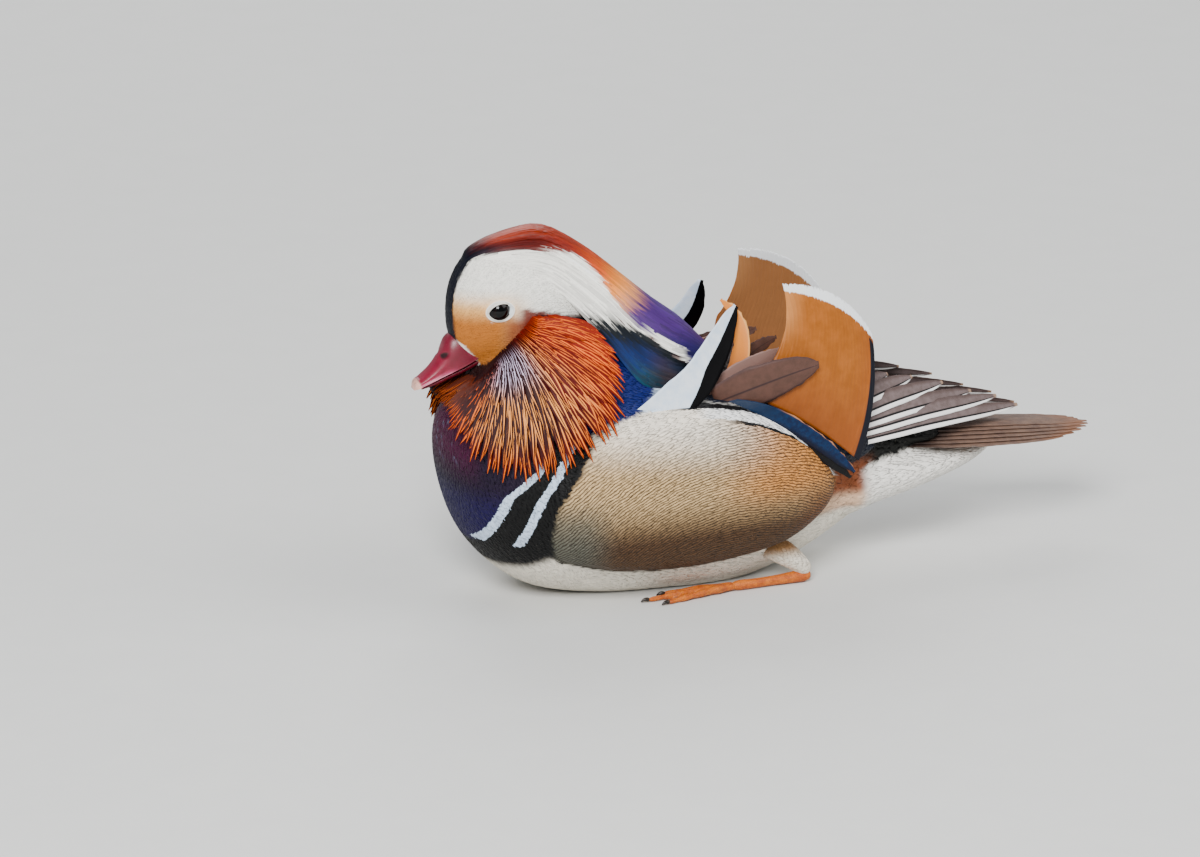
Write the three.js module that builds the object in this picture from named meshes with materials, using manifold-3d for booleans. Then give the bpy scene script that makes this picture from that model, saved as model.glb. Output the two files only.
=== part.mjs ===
// A drake mandarin duck afloat with its head drawn in, at life size, in millimetres.
// +X runs from the bill to the tail, -Y is the bird's left side and +Z is up.
// z = 0 is the level that the belly and the folded feet rest on, and the origin lies on the belly's flat.
import * as THREE from 'three';
import { mergeVertices } from 'three/addons/utils/BufferGeometryUtils.js';
import Module from 'manifold-3d';

const wasm = await Module();
wasm.setup();
const vec = (x, y, z) => new THREE.Vector3(x, y, z);

// Driving dimensions, in millimetres and degrees
const GAP = 0.3; // clearance between two pieces that touch
const FLOOR_SIZE = 600; // edge of the block that trims what would reach below the floor

// The tables of stations run from front to back. A station is [x, y, z, up, down, wide]:
// a place on the body's middle line, and how far the body reaches up, down and to each side.
const TORSO = [
  [-117.5, 0, 74, 0, 0, 0],
  [-114, 0, 73, 18, 22, 22],
  [-104, 0, 68, 32, 41, 37],
  [-81, 0, 61, 40, 55, 49],
  [-50, 0, 58, 48, 61, 53],
  [-15, 0, 56, 55, 62, 53.5],
  [22, 0, 55, 56, 61, 50],
  [55, 0, 54, 48, 51, 42],
  [84, 0, 54, 34, 36, 30],
  [107, 0, 55, 21, 21, 21],
  [124, 0, 57, 9, 10, 12],
  [132, 0, 58, 0, 0, 0],
];
const HEAD = [
  [-113.5, 0, 141, 0, 0, 0],
  [-111.8, 0, 141, 13, 13.5, 7],
  [-107.5, 0, 141.5, 22.5, 22, 12],
  [-100, 0, 142, 30, 27, 16],
  [-90, 0, 142.5, 32.5, 31, 19],
  [-77, 0, 142, 33.5, 33, 21.5],
  [-62, 0, 140.5, 32, 33, 22.5],
  [-46, 0, 137, 27.5, 30, 21.5],
  [-33, 0, 132, 19, 20, 16.5],
  [-27, 0, 130, 0, 0, 0],
];
const NECK = [
  [-110, 0, 98, 0, 0, 0],
  [-104, 0, 100, 10, 14, 20],
  [-90, 0, 103, 20, 22, 31],
  [-70, 0, 105, 23, 26, 37],
  [-50, 0, 104, 25, 24, 39.5],
  [-30, 0, 101, 26, 20, 38.5],
  [-13, 0, 99, 21, 16, 34],
  [2, 0, 99, 13, 10, 25],
  [9, 0, 100, 0, 0, 0],
];
const FLANK = [
  [-80, -40, 47, 0, 0, 0],
  [-74, -41, 49, 19, 20, 11],
  [-60, -43, 54, 29.5, 31, 16.5],
  [-38, -44, 58, 37.5, 40, 18.5],
  [-8, -44, 59, 40, 42, 18.5],
  [20, -43, 57, 37.5, 38, 18],
  [42, -40.5, 54, 29.5, 31, 16],
  [58, -37.5, 51, 18.5, 20, 13],
  [67, -35.5, 49, 8, 9, 9],
  [70, -35, 49, 0, 0, 0],
];
const UNDERTAIL = [
  [72, 0, 40, 0, 0, 0],
  [80, 0, 41, 16, 19, 31],
  [100, 0, 44, 14, 18, 31],
  [124, 0, 46, 9.5, 14, 26.5],
  [146, 0, 48, 5, 9.5, 18],
  [159, 0, 48.5, 2.5, 4.5, 9],
  [166, 0, 49, 0, 0, 0],
];

// Eyes, and the opening of the lids round them
const EYE_AT = vec(-91.7, -14.6, 144.7);
const EYE_RADIUS = 5.6;
const LID_LONG = 5.7; // half the length of the lids' ring, along the head
const LID_TALL = 4.4;
const LID_DEEP = 5.5; // its reach in and out, before the ring is laid on the cheek
const LID_THICK = 0.95;
const LID_TILT = 11;
const LID_SINK = 4; // how far the ring lies out from the middle of the eye

// Bill: the mouth line runs from the gape to the tip.
// A station is [distance from the gape, height, half width].
const GAPE = vec(-100.5, 0, 118.1);
const MOUTH_SLOPE = 24.6;
const UPPER_BILL = [
  [-8, 13, 7], [2, 15.8, 8.3], [7.4, 15.2, 8.3], [12.8, 10.2, 7.5],
  [19, 6.4, 6.6], [25, 4.4, 5.9], [29.5, 3.3, 4.9], [31.9, 1, 2.4],
];
const LOWER_BILL = [[-8, 3.5, 6.4], [4, 3.6, 6.9], [14, 3, 5.8], [22, 2.4, 4.9], [28.4, 1.4, 3.2]];
const EDGE_LEVEL = 0.22; // height of the widest line of each half, as a share of its own height
const NOSTRIL_AT = vec(-115.2, -6.2, 121.4);
const NOSTRIL_SIZE = vec(2.3, 1.6, 1.1);
const NOSTRIL_TILT = 20; // steeper than the mouth line

// Crest: a cap over the crown, and tiers of plumes that run from one share of the crest's length to another,
// at some angles from its ridge, each tier lifted off the crest's surface
const CREST = [
  [-106, 0, 163, 0, 0, 0],
  [-101, 0, 163, 8.5, 8, 7],
  [-85, 0, 163, 14.5, 13, 13],
  [-65, 0, 156, 23, 19, 19],
  [-45, 0, 136, 31.5, 26, 29],
  [-27, 0, 113, 39.5, 24, 36],
  [-11, 0, 104, 34.5, 16, 36.5],
  [2, 0, 101, 27.5, 12, 31],
  [15, 0, 100, 15.5, 8, 21],
  [26, 0, 103, 0, 0, 0],
];
const CREST_TIERS = [
  { from: 0.46, to: 0.87, lift: -1.4, half: 9.5, steps: 3, angles: [74, 96] },
  { from: 0.46, to: 0.985, lift: -1.4, half: 9.5, steps: 3, angles: [0, 25, 50] },
  { from: 0.3, to: 0.76, lift: 0.2, half: 9.2, steps: 3, angles: [0, 28, 56] },
  { from: 0.06, to: 0.5, lift: 0.4, half: 6.8, steps: 3, angles: [0, 34, 62] },
];
const CAP_END = 0.55; // share of the crest's length where its cap ends
const CAP_SINK = 1.2; // the cap lies this far under the plumes' surface
const PLUME_THICK = 2;
const PLUME_ROOTING = 3.5; // depth of a plume's root under the crest's surface
const PLUME_LAP = 1.5; // every other plume lies this much higher, over its neighbours' edges

// Tail: a core sunk in the rump, and six pairs of feathers
const TAIL_CORE = [
  [88, 0, 62, 0, 0, 0],
  [96, 0, 62, 6.5, 6.5, 15],
  [113, 0, 60.5, 5.5, 6, 20],
  [128, 0, 59.5, 3.5, 4, 19],
  [138, 0, 58.5, 0, 0, 0],
];
const TAIL_PAIRS = 6;
const TAIL_ROOT = 104;
const TAIL_REACH = 213;
const TAIL_LEVEL = 61.3;
const TAIL_STEP = 0.95; // each pair lies this much lower than the one above it
const TAIL_SPREAD = 3.1; // each pair lies this much further out
const TAIL_DROOP = 7;
const TAIL_HALF = 6.8;

// Wing: its body lies in a hollow of the torso, under the flank
const WING_CORE = [
  [-44, -33, 84, 0, 0, 0],
  [-38, -34, 84, 11, 11, 7],
  [-18, -36, 84, 16, 17, 10.5],
  [12, -37, 83, 16.5, 17, 11],
  [38, -36, 77.5, 15, 15, 10.5],
  [60, -34, 70, 13, 13, 9.5],
  [80, -31.5, 65, 9.5, 9, 7.5],
  [94, -29, 63, 0, 0, 0],
];
// Each primary's outer edge runs from its root under the sail, past the sail's rear edge, to its tip.
const PRIMARIES = [
  { root: vec(58, -36, 66), way: vec(90, -34, 65), tip: vec(177, -3, 65) },
  { root: vec(57, -35.5, 70), way: vec(91, -32.5, 69), tip: vec(165.5, -4, 71) },
  { root: vec(56, -35, 74), way: vec(92, -31, 72.5), tip: vec(151.5, -6, 75.5) },
  { root: vec(55, -33.5, 78), way: vec(92, -29, 77), tip: vec(136, -8, 82) },
  { root: vec(53, -32, 82), way: vec(92, -26.5, 81.5), tip: vec(119.5, -9.5, 87) },
  { root: vec(50, -30, 86), way: vec(92, -24, 86), tip: vec(106, -12, 90.5) },
];
const PRIMARY_HALF = 4.9;
const PRIMARY_ACROSS = vec(0, 0.6, 0.8);
const PRIMARY_BOW = vec(0, -2.5, 3); // the bend of the outer edge, half way to the tip
// The blue secondary lies along the top of the flank, and a black one under it.
const SECONDARY = [
  vec(6, -41, 95.5), vec(26, -45.5, 92), vec(44, -46.5, 83), vec(61, -46, 70.5), vec(77, -44.5, 55.5),
];
const SECONDARY_HALF = 4.6;
const SECONDARY_STEP = vec(-1.6, 1.2, -3); // from the blue one to the black one
// Two grey-brown tertials lie over the foot of the sail, and a third between the sails.
const TERTIALS = [
  { path: [vec(8, -40, 96), vec(26, -45.5, 103.5), vec(43, -46.5, 108.5), vec(58.5, -44, 111)], half: 11.5 },
  { path: [vec(6, -36, 97), vec(20, -34, 106), vec(33, -33.5, 112), vec(43, -33, 117)], half: 6.5 },
  { path: [vec(14, -27, 96), vec(26, -22, 107), vec(37, -17, 113), vec(48, -14, 117)], half: 5.5 },
];

// Sail: its corners as [x, z], and how far its four edges bow
const SAIL = {
  frontFoot: [17, 97], rearFoot: [80, 60], frontTip: [44.5, 149], rearTop: [90, 120],
  footBow: 5, rimBow: 7.5, frontBow: 11.5, rearBow: 4, footY: -41.5, topY: -31,
};
const SAIL_STEPS = 6; // the sheet's squares each way
const SAIL_THICK = 1.3; // at the foot
const SAIL_RIM_THICK = 0.6;

// Sickles, both drawn on the left side. The left wing's stands up and hooks forward, the right wing's is low.
const SICKLE_HIGH = [
  vec(12, -35, 97), vec(22, -36, 106), vec(25.5, -33, 117), vec(23, -29, 129), vec(14.5, -25.5, 141),
];
const SICKLE_LOW = [vec(14, -31, 100), vec(20, -29.5, 106), vec(26, -28.5, 111.5), vec(31, -27.5, 116)];
const SICKLE_HALF = 5.6;

// Scapulars: a core at the shoulder, a long feather whose tip rises behind the crest, and a short one.
// The long ones are both drawn on the left side. The right one's tip rises further back and steeper.
const SCAPULAR_CORE = [
  [-58, -36, 88, 0, 0, 0],
  [-52, -37, 90, 8, 9, 7],
  [-36, -37.5, 93, 11.5, 12, 9.5],
  [-16, -36, 95, 11, 12, 9.5],
  [-3, -35, 97, 6, 7, 6],
  [3, -34, 98, 0, 0, 0],
];
const SCAPULAR_LEFT = [
  vec(-36, -42, 88), vec(-22, -46.5, 97), vec(-9, -45.5, 103), vec(5.5, -40, 113), vec(13.5, -33.5, 125),
  vec(19.5, -28, 132.5), vec(23.8, -23.5, 137.6),
];
const SCAPULAR_RIGHT = [
  vec(-36, -42, 88), vec(-22, -46.5, 97), vec(-9, -46, 101.5), vec(5, -42, 105.5), vec(15, -37, 110.5),
  vec(20.5, -31, 121), vec(22.9, -23.5, 137),
];
const SCAPULAR_SHORT = [vec(-50, -42, 92), vec(-36, -46, 99), vec(-20, -45, 104), vec(-6, -41, 108.5)];
const SCAPULAR_LONG_HALF = 9.2;
const SCAPULAR_SHORT_HALF = 7;

// Ruff: both lines run from behind the eye to the chin, where the hackles grow and where the longest ones end.
// Its tiers, from the outermost, say where the hackles are rooted and end as shares of that way.
const RUFF_ROOTS = [
  vec(-77, -20, 142), vec(-80, -20.5, 137.5), vec(-84, -20, 132.5), vec(-88, -19, 128), vec(-92, -17, 123.5),
  vec(-95, -14, 118.5), vec(-97, -10, 113.5),
];
const RUFF_ENDS = [
  vec(-50, -29, 137), vec(-42.5, -39, 126), vec(-40.5, -46, 110), vec(-45, -51, 91), vec(-62, -53, 79),
  vec(-80, -51.5, 72.5), vec(-97, -46, 71), vec(-111, -38, 79), vec(-119, -29, 91), vec(-119, -19, 100),
  vec(-111, -11, 106.5),
];
const RUFF_TIERS = [
  { root: 0.44, end: 1, lift: -0.9, count: 16, half: 5.8, steps: 3 },
  { root: 0.28, end: 0.8, lift: 2.4, count: 9, half: 6, steps: 2 },
  { root: 0.12, end: 0.55, lift: 5.2, count: 5, half: 5.5, steps: 2 },
];
const RUFF_CORE_REACH = 0.5; // share of the way to the hackles' ends where their core ends
const HACKLE_THICK = 1.4;
const HACKLE_ROOTING = 1.6; // depth of a hackle's root under the ruff's surface
const HACKLE_LAP = 1.8; // every other hackle lies this much higher, over its neighbours' edges

// Legs and feet: the shank lies back to the heel, and the webbed toes forward
const THIGH = [vec(36, -33, 21), vec(48, -35, 13), vec(57, -36, 5)];
const THIGH_RADII = [7, 5.5, 3.4];
const SHANK = [vec(58, -36, 3.2), vec(40, -37, 2.6), vec(22, -38, 2.6)];
const SHANK_RADII = [3.4, 2.9, 3];
const FOOT_AT = vec(18, -38, 2.2);
const TOE_TIPS = [vec(-17, -34.5, 1), vec(-27, -40.5, 1), vec(-19, -47, 1)];
const TOE_RADII = [2.7, 2.1, 1.2];
const HIND_TOE = [vec(20, -38, 2), vec(26, -33, 1.5), vec(31, -30.5, 1)];
const HIND_TOE_RADII = [2, 1.6, 1.1];
const WEB_SHARES = [0.1, 0.46, 0.82]; // of the way along the toes
const WEB_HOLLOW = 0.9; // between two toes the web reaches this share as far
const WEB_LEVEL = 1.2;

// Colour and roughness of each piece
const FINISHES = {
  torso: [0x5a3a44, 0.7],
  head: [0xf2efe6, 0.7],
  eye: [0x0b0806, 0.08],
  bill_upper: [0xa8173c, 0.35],
  bill_lower: [0x7a1530, 0.4],
  neck: [0x1f3a6b, 0.6],
  crest: [0x8c3a22, 0.6],
  flank: [0xc09a63, 0.75],
  tail: [0x5b4a45, 0.7],
  undertail: [0xe6eaee, 0.75],
  wing: [0x6a5a58, 0.7],
  sail: [0xb8692f, 0.6],
  sickle: [0xd08a4a, 0.6],
  scapular: [0xdfe8f0, 0.5],
  ruff: [0xb04a20, 0.6],
  foot: [0xd87a2a, 0.5],
  leg: [0xd87a2a, 0.5],
};

// Numbers, points and curves
const mix = (a, b, t) => a + (b - a) * t;
const shares = (count) => Array.from({ length: count + 1 }, (_, i) => i / count);
const signedPower = (value, power) => Math.sign(value) * Math.abs(value) ** power;
const radians = (degrees) => (degrees * Math.PI) / 180;

// A repeatable random number from 0 to 1, from a whole-number seed
function chance(seed) {
  let t = (seed * 0x6d2b79f5 + 0x1b873593) >>> 0;
  t = Math.imul(t ^ (t >>> 15), t | 1);
  t ^= t + Math.imul(t ^ (t >>> 7), t | 61);
  return ((t ^ (t >>> 14)) >>> 0) / 2 ** 32;
}

// The smooth curve through equally spaced values, read at a share from 0 to 1
function through(values, share) {
  const last = values.length - 1;
  const at = Math.min(Math.max(share, 0), 1) * last;
  const i = Math.min(Math.floor(at), last - 1);
  const t = at - i;
  const p1 = values[i];
  const p2 = values[i + 1];
  const p0 = i > 0 ? values[i - 1] : 2 * p1 - p2;
  const p3 = i + 2 <= last ? values[i + 2] : 2 * p2 - p1;
  const linear = p2 - p0;
  const square = 2 * p0 - 5 * p1 + 4 * p2 - p3;
  const cube = 3 * p1 - p0 - 3 * p2 + p3;
  return p1 + 0.5 * (linear * t + square * t * t + cube * t * t * t);
}

const throughPoints = (line, share) => {
  const along = (axis) => through(line.map((p) => p[axis]), share);
  return vec(along('x'), along('y'), along('z'));
};

// A station of a loft at a share of its length.
// The ends are poles, and the curve passes them as a round nose does.
function stationAt(rows, share) {
  const last = rows.length - 1;
  const nose = (row, inner) => row.map((v, k) => (k < 3 ? inner[k] : -inner[k]));
  const padded = [nose(rows[0], rows[1]), ...rows, nose(rows[last], rows[last - 1])];
  return rows[0].map((_, k) => through(padded.map((row) => row[k]), (share * last + 1) / (last + 2)));
}

const curveOf = (path) => new THREE.CatmullRomCurve3(path, false, 'centripetal');

// A curve's point and direction at a share, a unit vector across it near the one asked for, and one outward
function frameAt(curve, share, across) {
  const along = curve.getTangent(share);
  const side = across.clone().addScaledVector(along, -across.dot(along)).normalize();
  return { point: curve.getPoint(share), along, side, out: along.clone().cross(side) };
}

// Closed shapes
function geometryOf(points, triangles) {
  const geometry = new THREE.BufferGeometry();
  const flat = new Float32Array(points.length * 3);
  points.forEach((p, i) => flat.set([p.x, p.y, p.z], i * 3));
  geometry.setAttribute('position', new THREE.BufferAttribute(flat, 3));
  geometry.setIndex(triangles);
  return geometry;
}

// Rings of points, each one a loop, closed by a point at either end
function skinOf(start, rings, end) {
  const sides = rings[0].length;
  const points = [start, ...rings.flat(), end];
  const endIndex = points.length - 1;
  const at = (ring, side) => 1 + ring * sides + (side % sides);
  const triangles = [];
  for (let s = 0; s < sides; s += 1) {
    triangles.push(0, at(0, s + 1), at(0, s));
    for (let r = 0; r + 1 < rings.length; r += 1) {
      triangles.push(at(r, s), at(r, s + 1), at(r + 1, s + 1));
      triangles.push(at(r, s), at(r + 1, s + 1), at(r + 1, s));
    }
    triangles.push(endIndex, at(rings.length - 1, s), at(rings.length - 1, s + 1));
  }
  return geometryOf(points, triangles);
}

// A body lofted along X through a table of stations. A power over 2 squares its section.
function loft(rows, { rings, sides, power = 2 }) {
  const loops = shares(rings).slice(1, -1).map((share) => {
    const [x, y, z, up, down, wide] = stationAt(rows, share);
    return shares(sides).slice(0, -1).map((turn) => {
      const across = signedPower(Math.cos(2 * Math.PI * turn), 2 / power);
      const upward = signedPower(Math.sin(2 * Math.PI * turn), 2 / power);
      return vec(x, y + wide * across, z + (upward > 0 ? up : down) * upward);
    });
  });
  return skinOf(vec(...rows[0]), loops, vec(...rows[rows.length - 1]));
}

// A flat tapered lock of feather with a keel along its upper face, which ends in a point.
// A clearance makes the same lock bigger by that much on every side, as a tool to cut its neighbours with.
const LOCK_UNDER = 0.35; // share of the thickness that lies under the lock's curve
const LOCK_TAPER = 2.6; // the higher, the later the lock narrows
function lock({ path, across, half, thick, root, steps, clearance = 0 }) {
  const curve = curveOf(path);
  const loops = shares(steps).slice(0, -1).map((t) => {
    const { point, side, out } = frameAt(curve, t, across);
    const width = half * mix(root, 1, Math.min(1, steps * t)) * (1 - t ** LOCK_TAPER) + clearance;
    const height = thick * mix(1, 0.6, t);
    const low = -LOCK_UNDER * height - clearance;
    const high = (1 - LOCK_UNDER) * height + 1.2 * clearance;
    const rims = clearance > 0 ? [low, low + 2 * clearance] : [low];
    const section = [...rims.map((y) => [width, y]), [0, high], ...rims.reverse().map((y) => [-width, y])];
    return section.map(([x, y]) => point.clone().addScaledVector(side, x).addScaledVector(out, y));
  });
  const beyond = (share, reach) => curve.getPoint(share).addScaledVector(curve.getTangent(share), reach);
  return skinOf(beyond(0, -clearance), loops, beyond(1, 4 * clearance));
}

// A thin sheet over a grid of points: both faces are split alike, and a rim closes it
function sheet(grid, thickAt) {
  const rows = grid.length;
  const columns = grid[0].length;
  const normalAt = (i, j) => {
    const a = grid[Math.min(i + 1, rows - 1)][j].clone().sub(grid[Math.max(i - 1, 0)][j]);
    const b = grid[i][Math.min(j + 1, columns - 1)].clone().sub(grid[i][Math.max(j - 1, 0)]);
    return a.cross(b).normalize();
  };
  const points = [1, -1].flatMap((face) => grid.flatMap((row, i) => row.map((p, j) => {
    const reach = (face * thickAt(i / (rows - 1), j / (columns - 1))) / 2;
    return p.clone().addScaledVector(normalAt(i, j), reach);
  })));
  const under = rows * columns;
  const at = (i, j) => i * columns + j;
  const triangles = [];
  for (let i = 0; i + 1 < rows; i += 1) {
    for (let j = 0; j + 1 < columns; j += 1) {
      const [a, b, c, d] = [at(i, j), at(i + 1, j), at(i + 1, j + 1), at(i, j + 1)];
      triangles.push(a, b, c, a, c, d);
      triangles.push(under + a, under + c, under + b, under + a, under + d, under + c);
    }
  }
  const rim = [];
  for (let j = 0; j + 1 < columns; j += 1) rim.push([at(0, j), at(0, j + 1)]);
  for (let i = 0; i + 1 < rows; i += 1) rim.push([at(i, columns - 1), at(i + 1, columns - 1)]);
  for (let j = columns - 1; j > 0; j -= 1) rim.push([at(rows - 1, j), at(rows - 1, j - 1)]);
  for (let i = rows - 1; i > 0; i -= 1) rim.push([at(i, 0), at(i - 1, 0)]);
  for (const [a, b] of rim) triangles.push(a, b, under + b, a, under + b, under + a);
  return geometryOf(points, triangles);
}

// A feather's vane along a curve: thickest at the shaft, narrow at its root, rounded or pointed at its tip
const VANE_EDGE = 0.55; // thickness of a vane's edges
const VANE_ROOT = 0.7; // width at the root, as a share of the full width
function vane({ path, across, half, thick = 0.85, steps = 4, columns = 3, tip = 4, camber = 0.06 }) {
  const curve = curveOf(path);
  const grid = shares(steps).map((share) => {
    const t = 1 - (1 - share) ** 1.25;
    const { point, side, out } = frameAt(curve, t, across);
    const width = half * mix(VANE_ROOT, 1, Math.min(1, t * 3)) * Math.max(0.06, (1 - t ** tip) ** 0.6);
    return shares(columns - 1).map((place) => {
      const edge = 2 * place - 1;
      const drop = -camber * width * Math.abs(edge);
      return point.clone().addScaledVector(side, width * edge).addScaledVector(out, drop);
    });
  });
  return sheet(grid, (t, u) => (u === 0.5 ? thick : VANE_EDGE) * mix(1, 0.6, t ** 3));
}

// A round limb along a curve, with a radius at each share of its length
function limb(path, radii, { steps, sides }) {
  const curve = curveOf(path);
  const loops = shares(steps).map((t) => {
    const { point, side, out } = frameAt(curve, t, vec(0, 1, 0));
    const radius = through(radii, t);
    return shares(sides).slice(0, -1).map((turn) => {
      const angle = 2 * Math.PI * turn;
      return point.clone()
        .addScaledVector(side, radius * Math.cos(angle))
        .addScaledVector(out, radius * Math.sin(angle));
    });
  });
  const nose = (share, reach) => curve.getPoint(share).addScaledVector(curve.getTangent(share), 0.6 * reach);
  return skinOf(nose(0, -radii[0]), loops, nose(1, radii[radii.length - 1]));
}

// The same shape on the bird's other side
function mirrored(geometry) {
  const copy = merged(geometry);
  const place = copy.attributes.position;
  for (let i = 0; i < place.count; i += 1) place.setY(i, -place.getY(i));
  const order = copy.index.array;
  for (let i = 0; i < order.length; i += 3) [order[i], order[i + 1]] = [order[i + 1], order[i]];
  return copy;
}

// Solids, joined and cut
function merged(geometry) {
  const bare = geometry.clone();
  bare.deleteAttribute('normal');
  bare.deleteAttribute('uv');
  return mergeVertices(bare, 1e-4);
}

function solidOf(geometry) {
  const closed = merged(geometry);
  const make = (order) => new wasm.Manifold(new wasm.Mesh({
    numProp: 3,
    vertProperties: closed.attributes.position.array,
    triVerts: order,
  }));
  const order = new Uint32Array(closed.index.array);
  const made = make(order);
  if (made.volume() > 0) return made;
  for (let i = 0; i < order.length; i += 3) [order[i], order[i + 1]] = [order[i + 1], order[i]];
  return make(order);
}

// True where the triangles of a closed geometry face out
function windsOutward(geometry) {
  const p = geometry.attributes.position;
  const order = geometry.index.array;
  const corner = (k) => vec(p.getX(order[k]), p.getY(order[k]), p.getZ(order[k]));
  let volume = 0;
  for (let k = 0; k < order.length; k += 3) volume += corner(k).dot(corner(k + 1).cross(corner(k + 2)));
  return volume > 0;
}

// The same closed shape with every point moved out along its normal
function grown(geometry, distance) {
  const closed = merged(geometry);
  closed.computeVertexNormals();
  const reach = windsOutward(closed) ? distance : -distance;
  const place = closed.attributes.position;
  const normal = closed.attributes.normal;
  for (let i = 0; i < place.count; i += 1) {
    const [x, y, z] = ['getX', 'getY', 'getZ'].map((axis) => place[axis](i) + reach * normal[axis](i));
    place.setXYZ(i, x, y, z);
  }
  return closed;
}

const fuse = (pieces) => pieces.map(solidOf).reduce((all, piece) => all.add(piece));
const around = (pieces) => fuse(pieces.map((piece) => grown(piece, GAP)));

// The largest closed surface of a solid, which leaves out scraps and sealed hollows
function largest(solid) {
  return solid.decompose().reduce((best, body) => (body.volume() > best.volume() ? body : best));
}

function cutBy(solid, ...tools) {
  return largest(tools.reduce((left, tool) => left.subtract(tool), solid));
}

function toGeometry(solid) {
  const mesh = solid.getMesh();
  const positions = new Float32Array(mesh.numVert * 3);
  for (let i = 0; i < mesh.numVert; i += 1) {
    const start = i * mesh.numProp;
    positions.set(mesh.vertProperties.subarray(start, start + 3), i * 3);
  }
  const geometry = new THREE.BufferGeometry();
  geometry.setAttribute('position', new THREE.BufferAttribute(positions, 3));
  geometry.setIndex(new THREE.BufferAttribute(mesh.triVerts, 1));
  return geometry;
}

const bird = new THREE.Group();

function addNode(name, geometry) {
  const [color, roughness] = FINISHES[name.replace(/_(left|right)$/, '')];
  const mesh = new THREE.Mesh(geometry, new THREE.MeshStandardMaterial({ color, roughness, metalness: 0 }));
  mesh.name = name;
  bird.add(mesh);
}

// A left solid and its mirror image
function addPair(name, solid) {
  const left = toGeometry(solid);
  addNode(`${name}_left`, left);
  addNode(`${name}_right`, mirrored(left));
}

// Torso: breast, back, belly and rump in one body, its belly flat where it rests, hollowed for the wings
const torsoShape = loft(TORSO, { rings: 19, sides: 22, power: 2.1 });
const aroundTorso = around([torsoShape]);
const wingCore = loft(WING_CORE, { rings: 9, sides: 12 });
const aroundWingCores = around([wingCore, mirrored(wingCore)]);
const floorBlock = new THREE.BoxGeometry(FLOOR_SIZE, FLOOR_SIZE, FLOOR_SIZE);
const belowFloor = solidOf(floorBlock.translate(0, 0, -FLOOR_SIZE / 2));
addNode('torso', toGeometry(cutBy(solidOf(torsoShape), belowFloor, aroundWingCores)));

// Head: forehead, crown, brows and cheeks, with lids round each eye
const headShape = loft(HEAD, { rings: 15, sides: 18, power: 2.1 });
const aroundHead = around([headShape]);
const eyeShape = new THREE.IcosahedronGeometry(EYE_RADIUS, 2).translate(EYE_AT.x, EYE_AT.y, EYE_AT.z);

// The lids are a rounded oval rim that stands on the cheek round the eye.
function lidsShape() {
  const ring = new THREE.TorusGeometry(1, LID_THICK / LID_LONG, 5, 14);
  ring.scale(LID_LONG, LID_TALL, LID_DEEP);
  ring.rotateX(Math.PI / 2);
  ring.rotateZ(radians(LID_TILT));
  return ring.translate(EYE_AT.x, EYE_AT.y - LID_SINK, EYE_AT.z);
}
const bothEyes = [eyeShape, mirrored(eyeShape)];
const bothLids = [lidsShape(), mirrored(lidsShape())];
addNode('head', toGeometry(cutBy(fuse([headShape, ...bothLids]), around(bothEyes), aroundTorso)));
addPair('eye', solidOf(eyeShape));

// Bill: two horny halves with the line of the mouth between them, and a pit for each nostril
const BILL_SIDES = 12;
function billHalf(rows, { upward, lift, steps }) {
  const loops = shares(steps).map((share) => {
    const [along, tall, wide] = rows[0].map((_, k) => through(rows.map((row) => row[k]), share));
    return shares(BILL_SIDES).slice(0, -1).map((turn) => {
      const high = Math.sin(2 * Math.PI * turn);
      const rise = (high > 0 ? 1 - EDGE_LEVEL : EDGE_LEVEL) * tall * signedPower(high, 0.85);
      const across = wide * signedPower(Math.cos(2 * Math.PI * turn), 0.8);
      return vec(-along, across, upward * (lift + EDGE_LEVEL * tall + rise));
    });
  });
  const [endAlong, endTall] = rows[rows.length - 1];
  const start = vec(-rows[0][0] + 0.2, 0, upward * 2);
  const end = vec(-endAlong - 0.3, 0, upward * (lift + 0.4 * endTall));
  return skinOf(start, loops, end).rotateY(-radians(MOUTH_SLOPE)).translate(GAPE.x, GAPE.y, GAPE.z);
}
const upperBillShape = billHalf(UPPER_BILL, { upward: 1, lift: 0, steps: 13 });
const lowerBillShape = billHalf(LOWER_BILL, { upward: -1, lift: 0.35, steps: 8 });
const nostrilShape = new THREE.IcosahedronGeometry(1, 1)
  .scale(NOSTRIL_SIZE.x, NOSTRIL_SIZE.y, NOSTRIL_SIZE.z)
  .rotateY(-radians(MOUTH_SLOPE + NOSTRIL_TILT))
  .translate(NOSTRIL_AT.x, NOSTRIL_AT.y, NOSTRIL_AT.z);
const nostrils = fuse([nostrilShape, mirrored(nostrilShape)]);
const aroundUpperBill = around([upperBillShape]);
const aroundLowerBill = around([lowerBillShape]);
addNode('bill_upper', toGeometry(cutBy(solidOf(upperBillShape), aroundHead, nostrils)));
addNode('bill_lower', toGeometry(cutBy(solidOf(lowerBillShape), aroundHead, aroundUpperBill)));

// Neck: drawn in between breast, head and back, with the nape running back under the crest
const neckShape = loft(NECK, { rings: 12, sides: 16 });
const aroundNeck = around([neckShape]);
const besideNeck = [aroundTorso, aroundHead, aroundWingCores, aroundLowerBill];
addNode('neck', toGeometry(cutBy(solidOf(neckShape), ...besideNeck)));

// Crest: long plumes that lie from the crown over the nape, from a cap that reaches half way to their tips
function crestPoint(share, fromRidge, lift) {
  const [x, y, z, up, , wide] = stationAt(CREST, share);
  const turn = radians(fromRidge);
  return vec(x, y + (wide + lift) * Math.sin(turn), z + (up + lift) * Math.cos(turn));
}

const crestCapRows = shares(6).map((share) => {
  const [x, y, z, up, down, wide] = stationAt(CREST, CAP_END * share);
  return share % 1 === 0 ? [x, y, z, 0, 0, 0] : [x, y, z, up - CAP_SINK, down, wide - CAP_SINK];
});
const crestCap = loft(crestCapRows, { rings: 8, sides: 12 });

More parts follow.
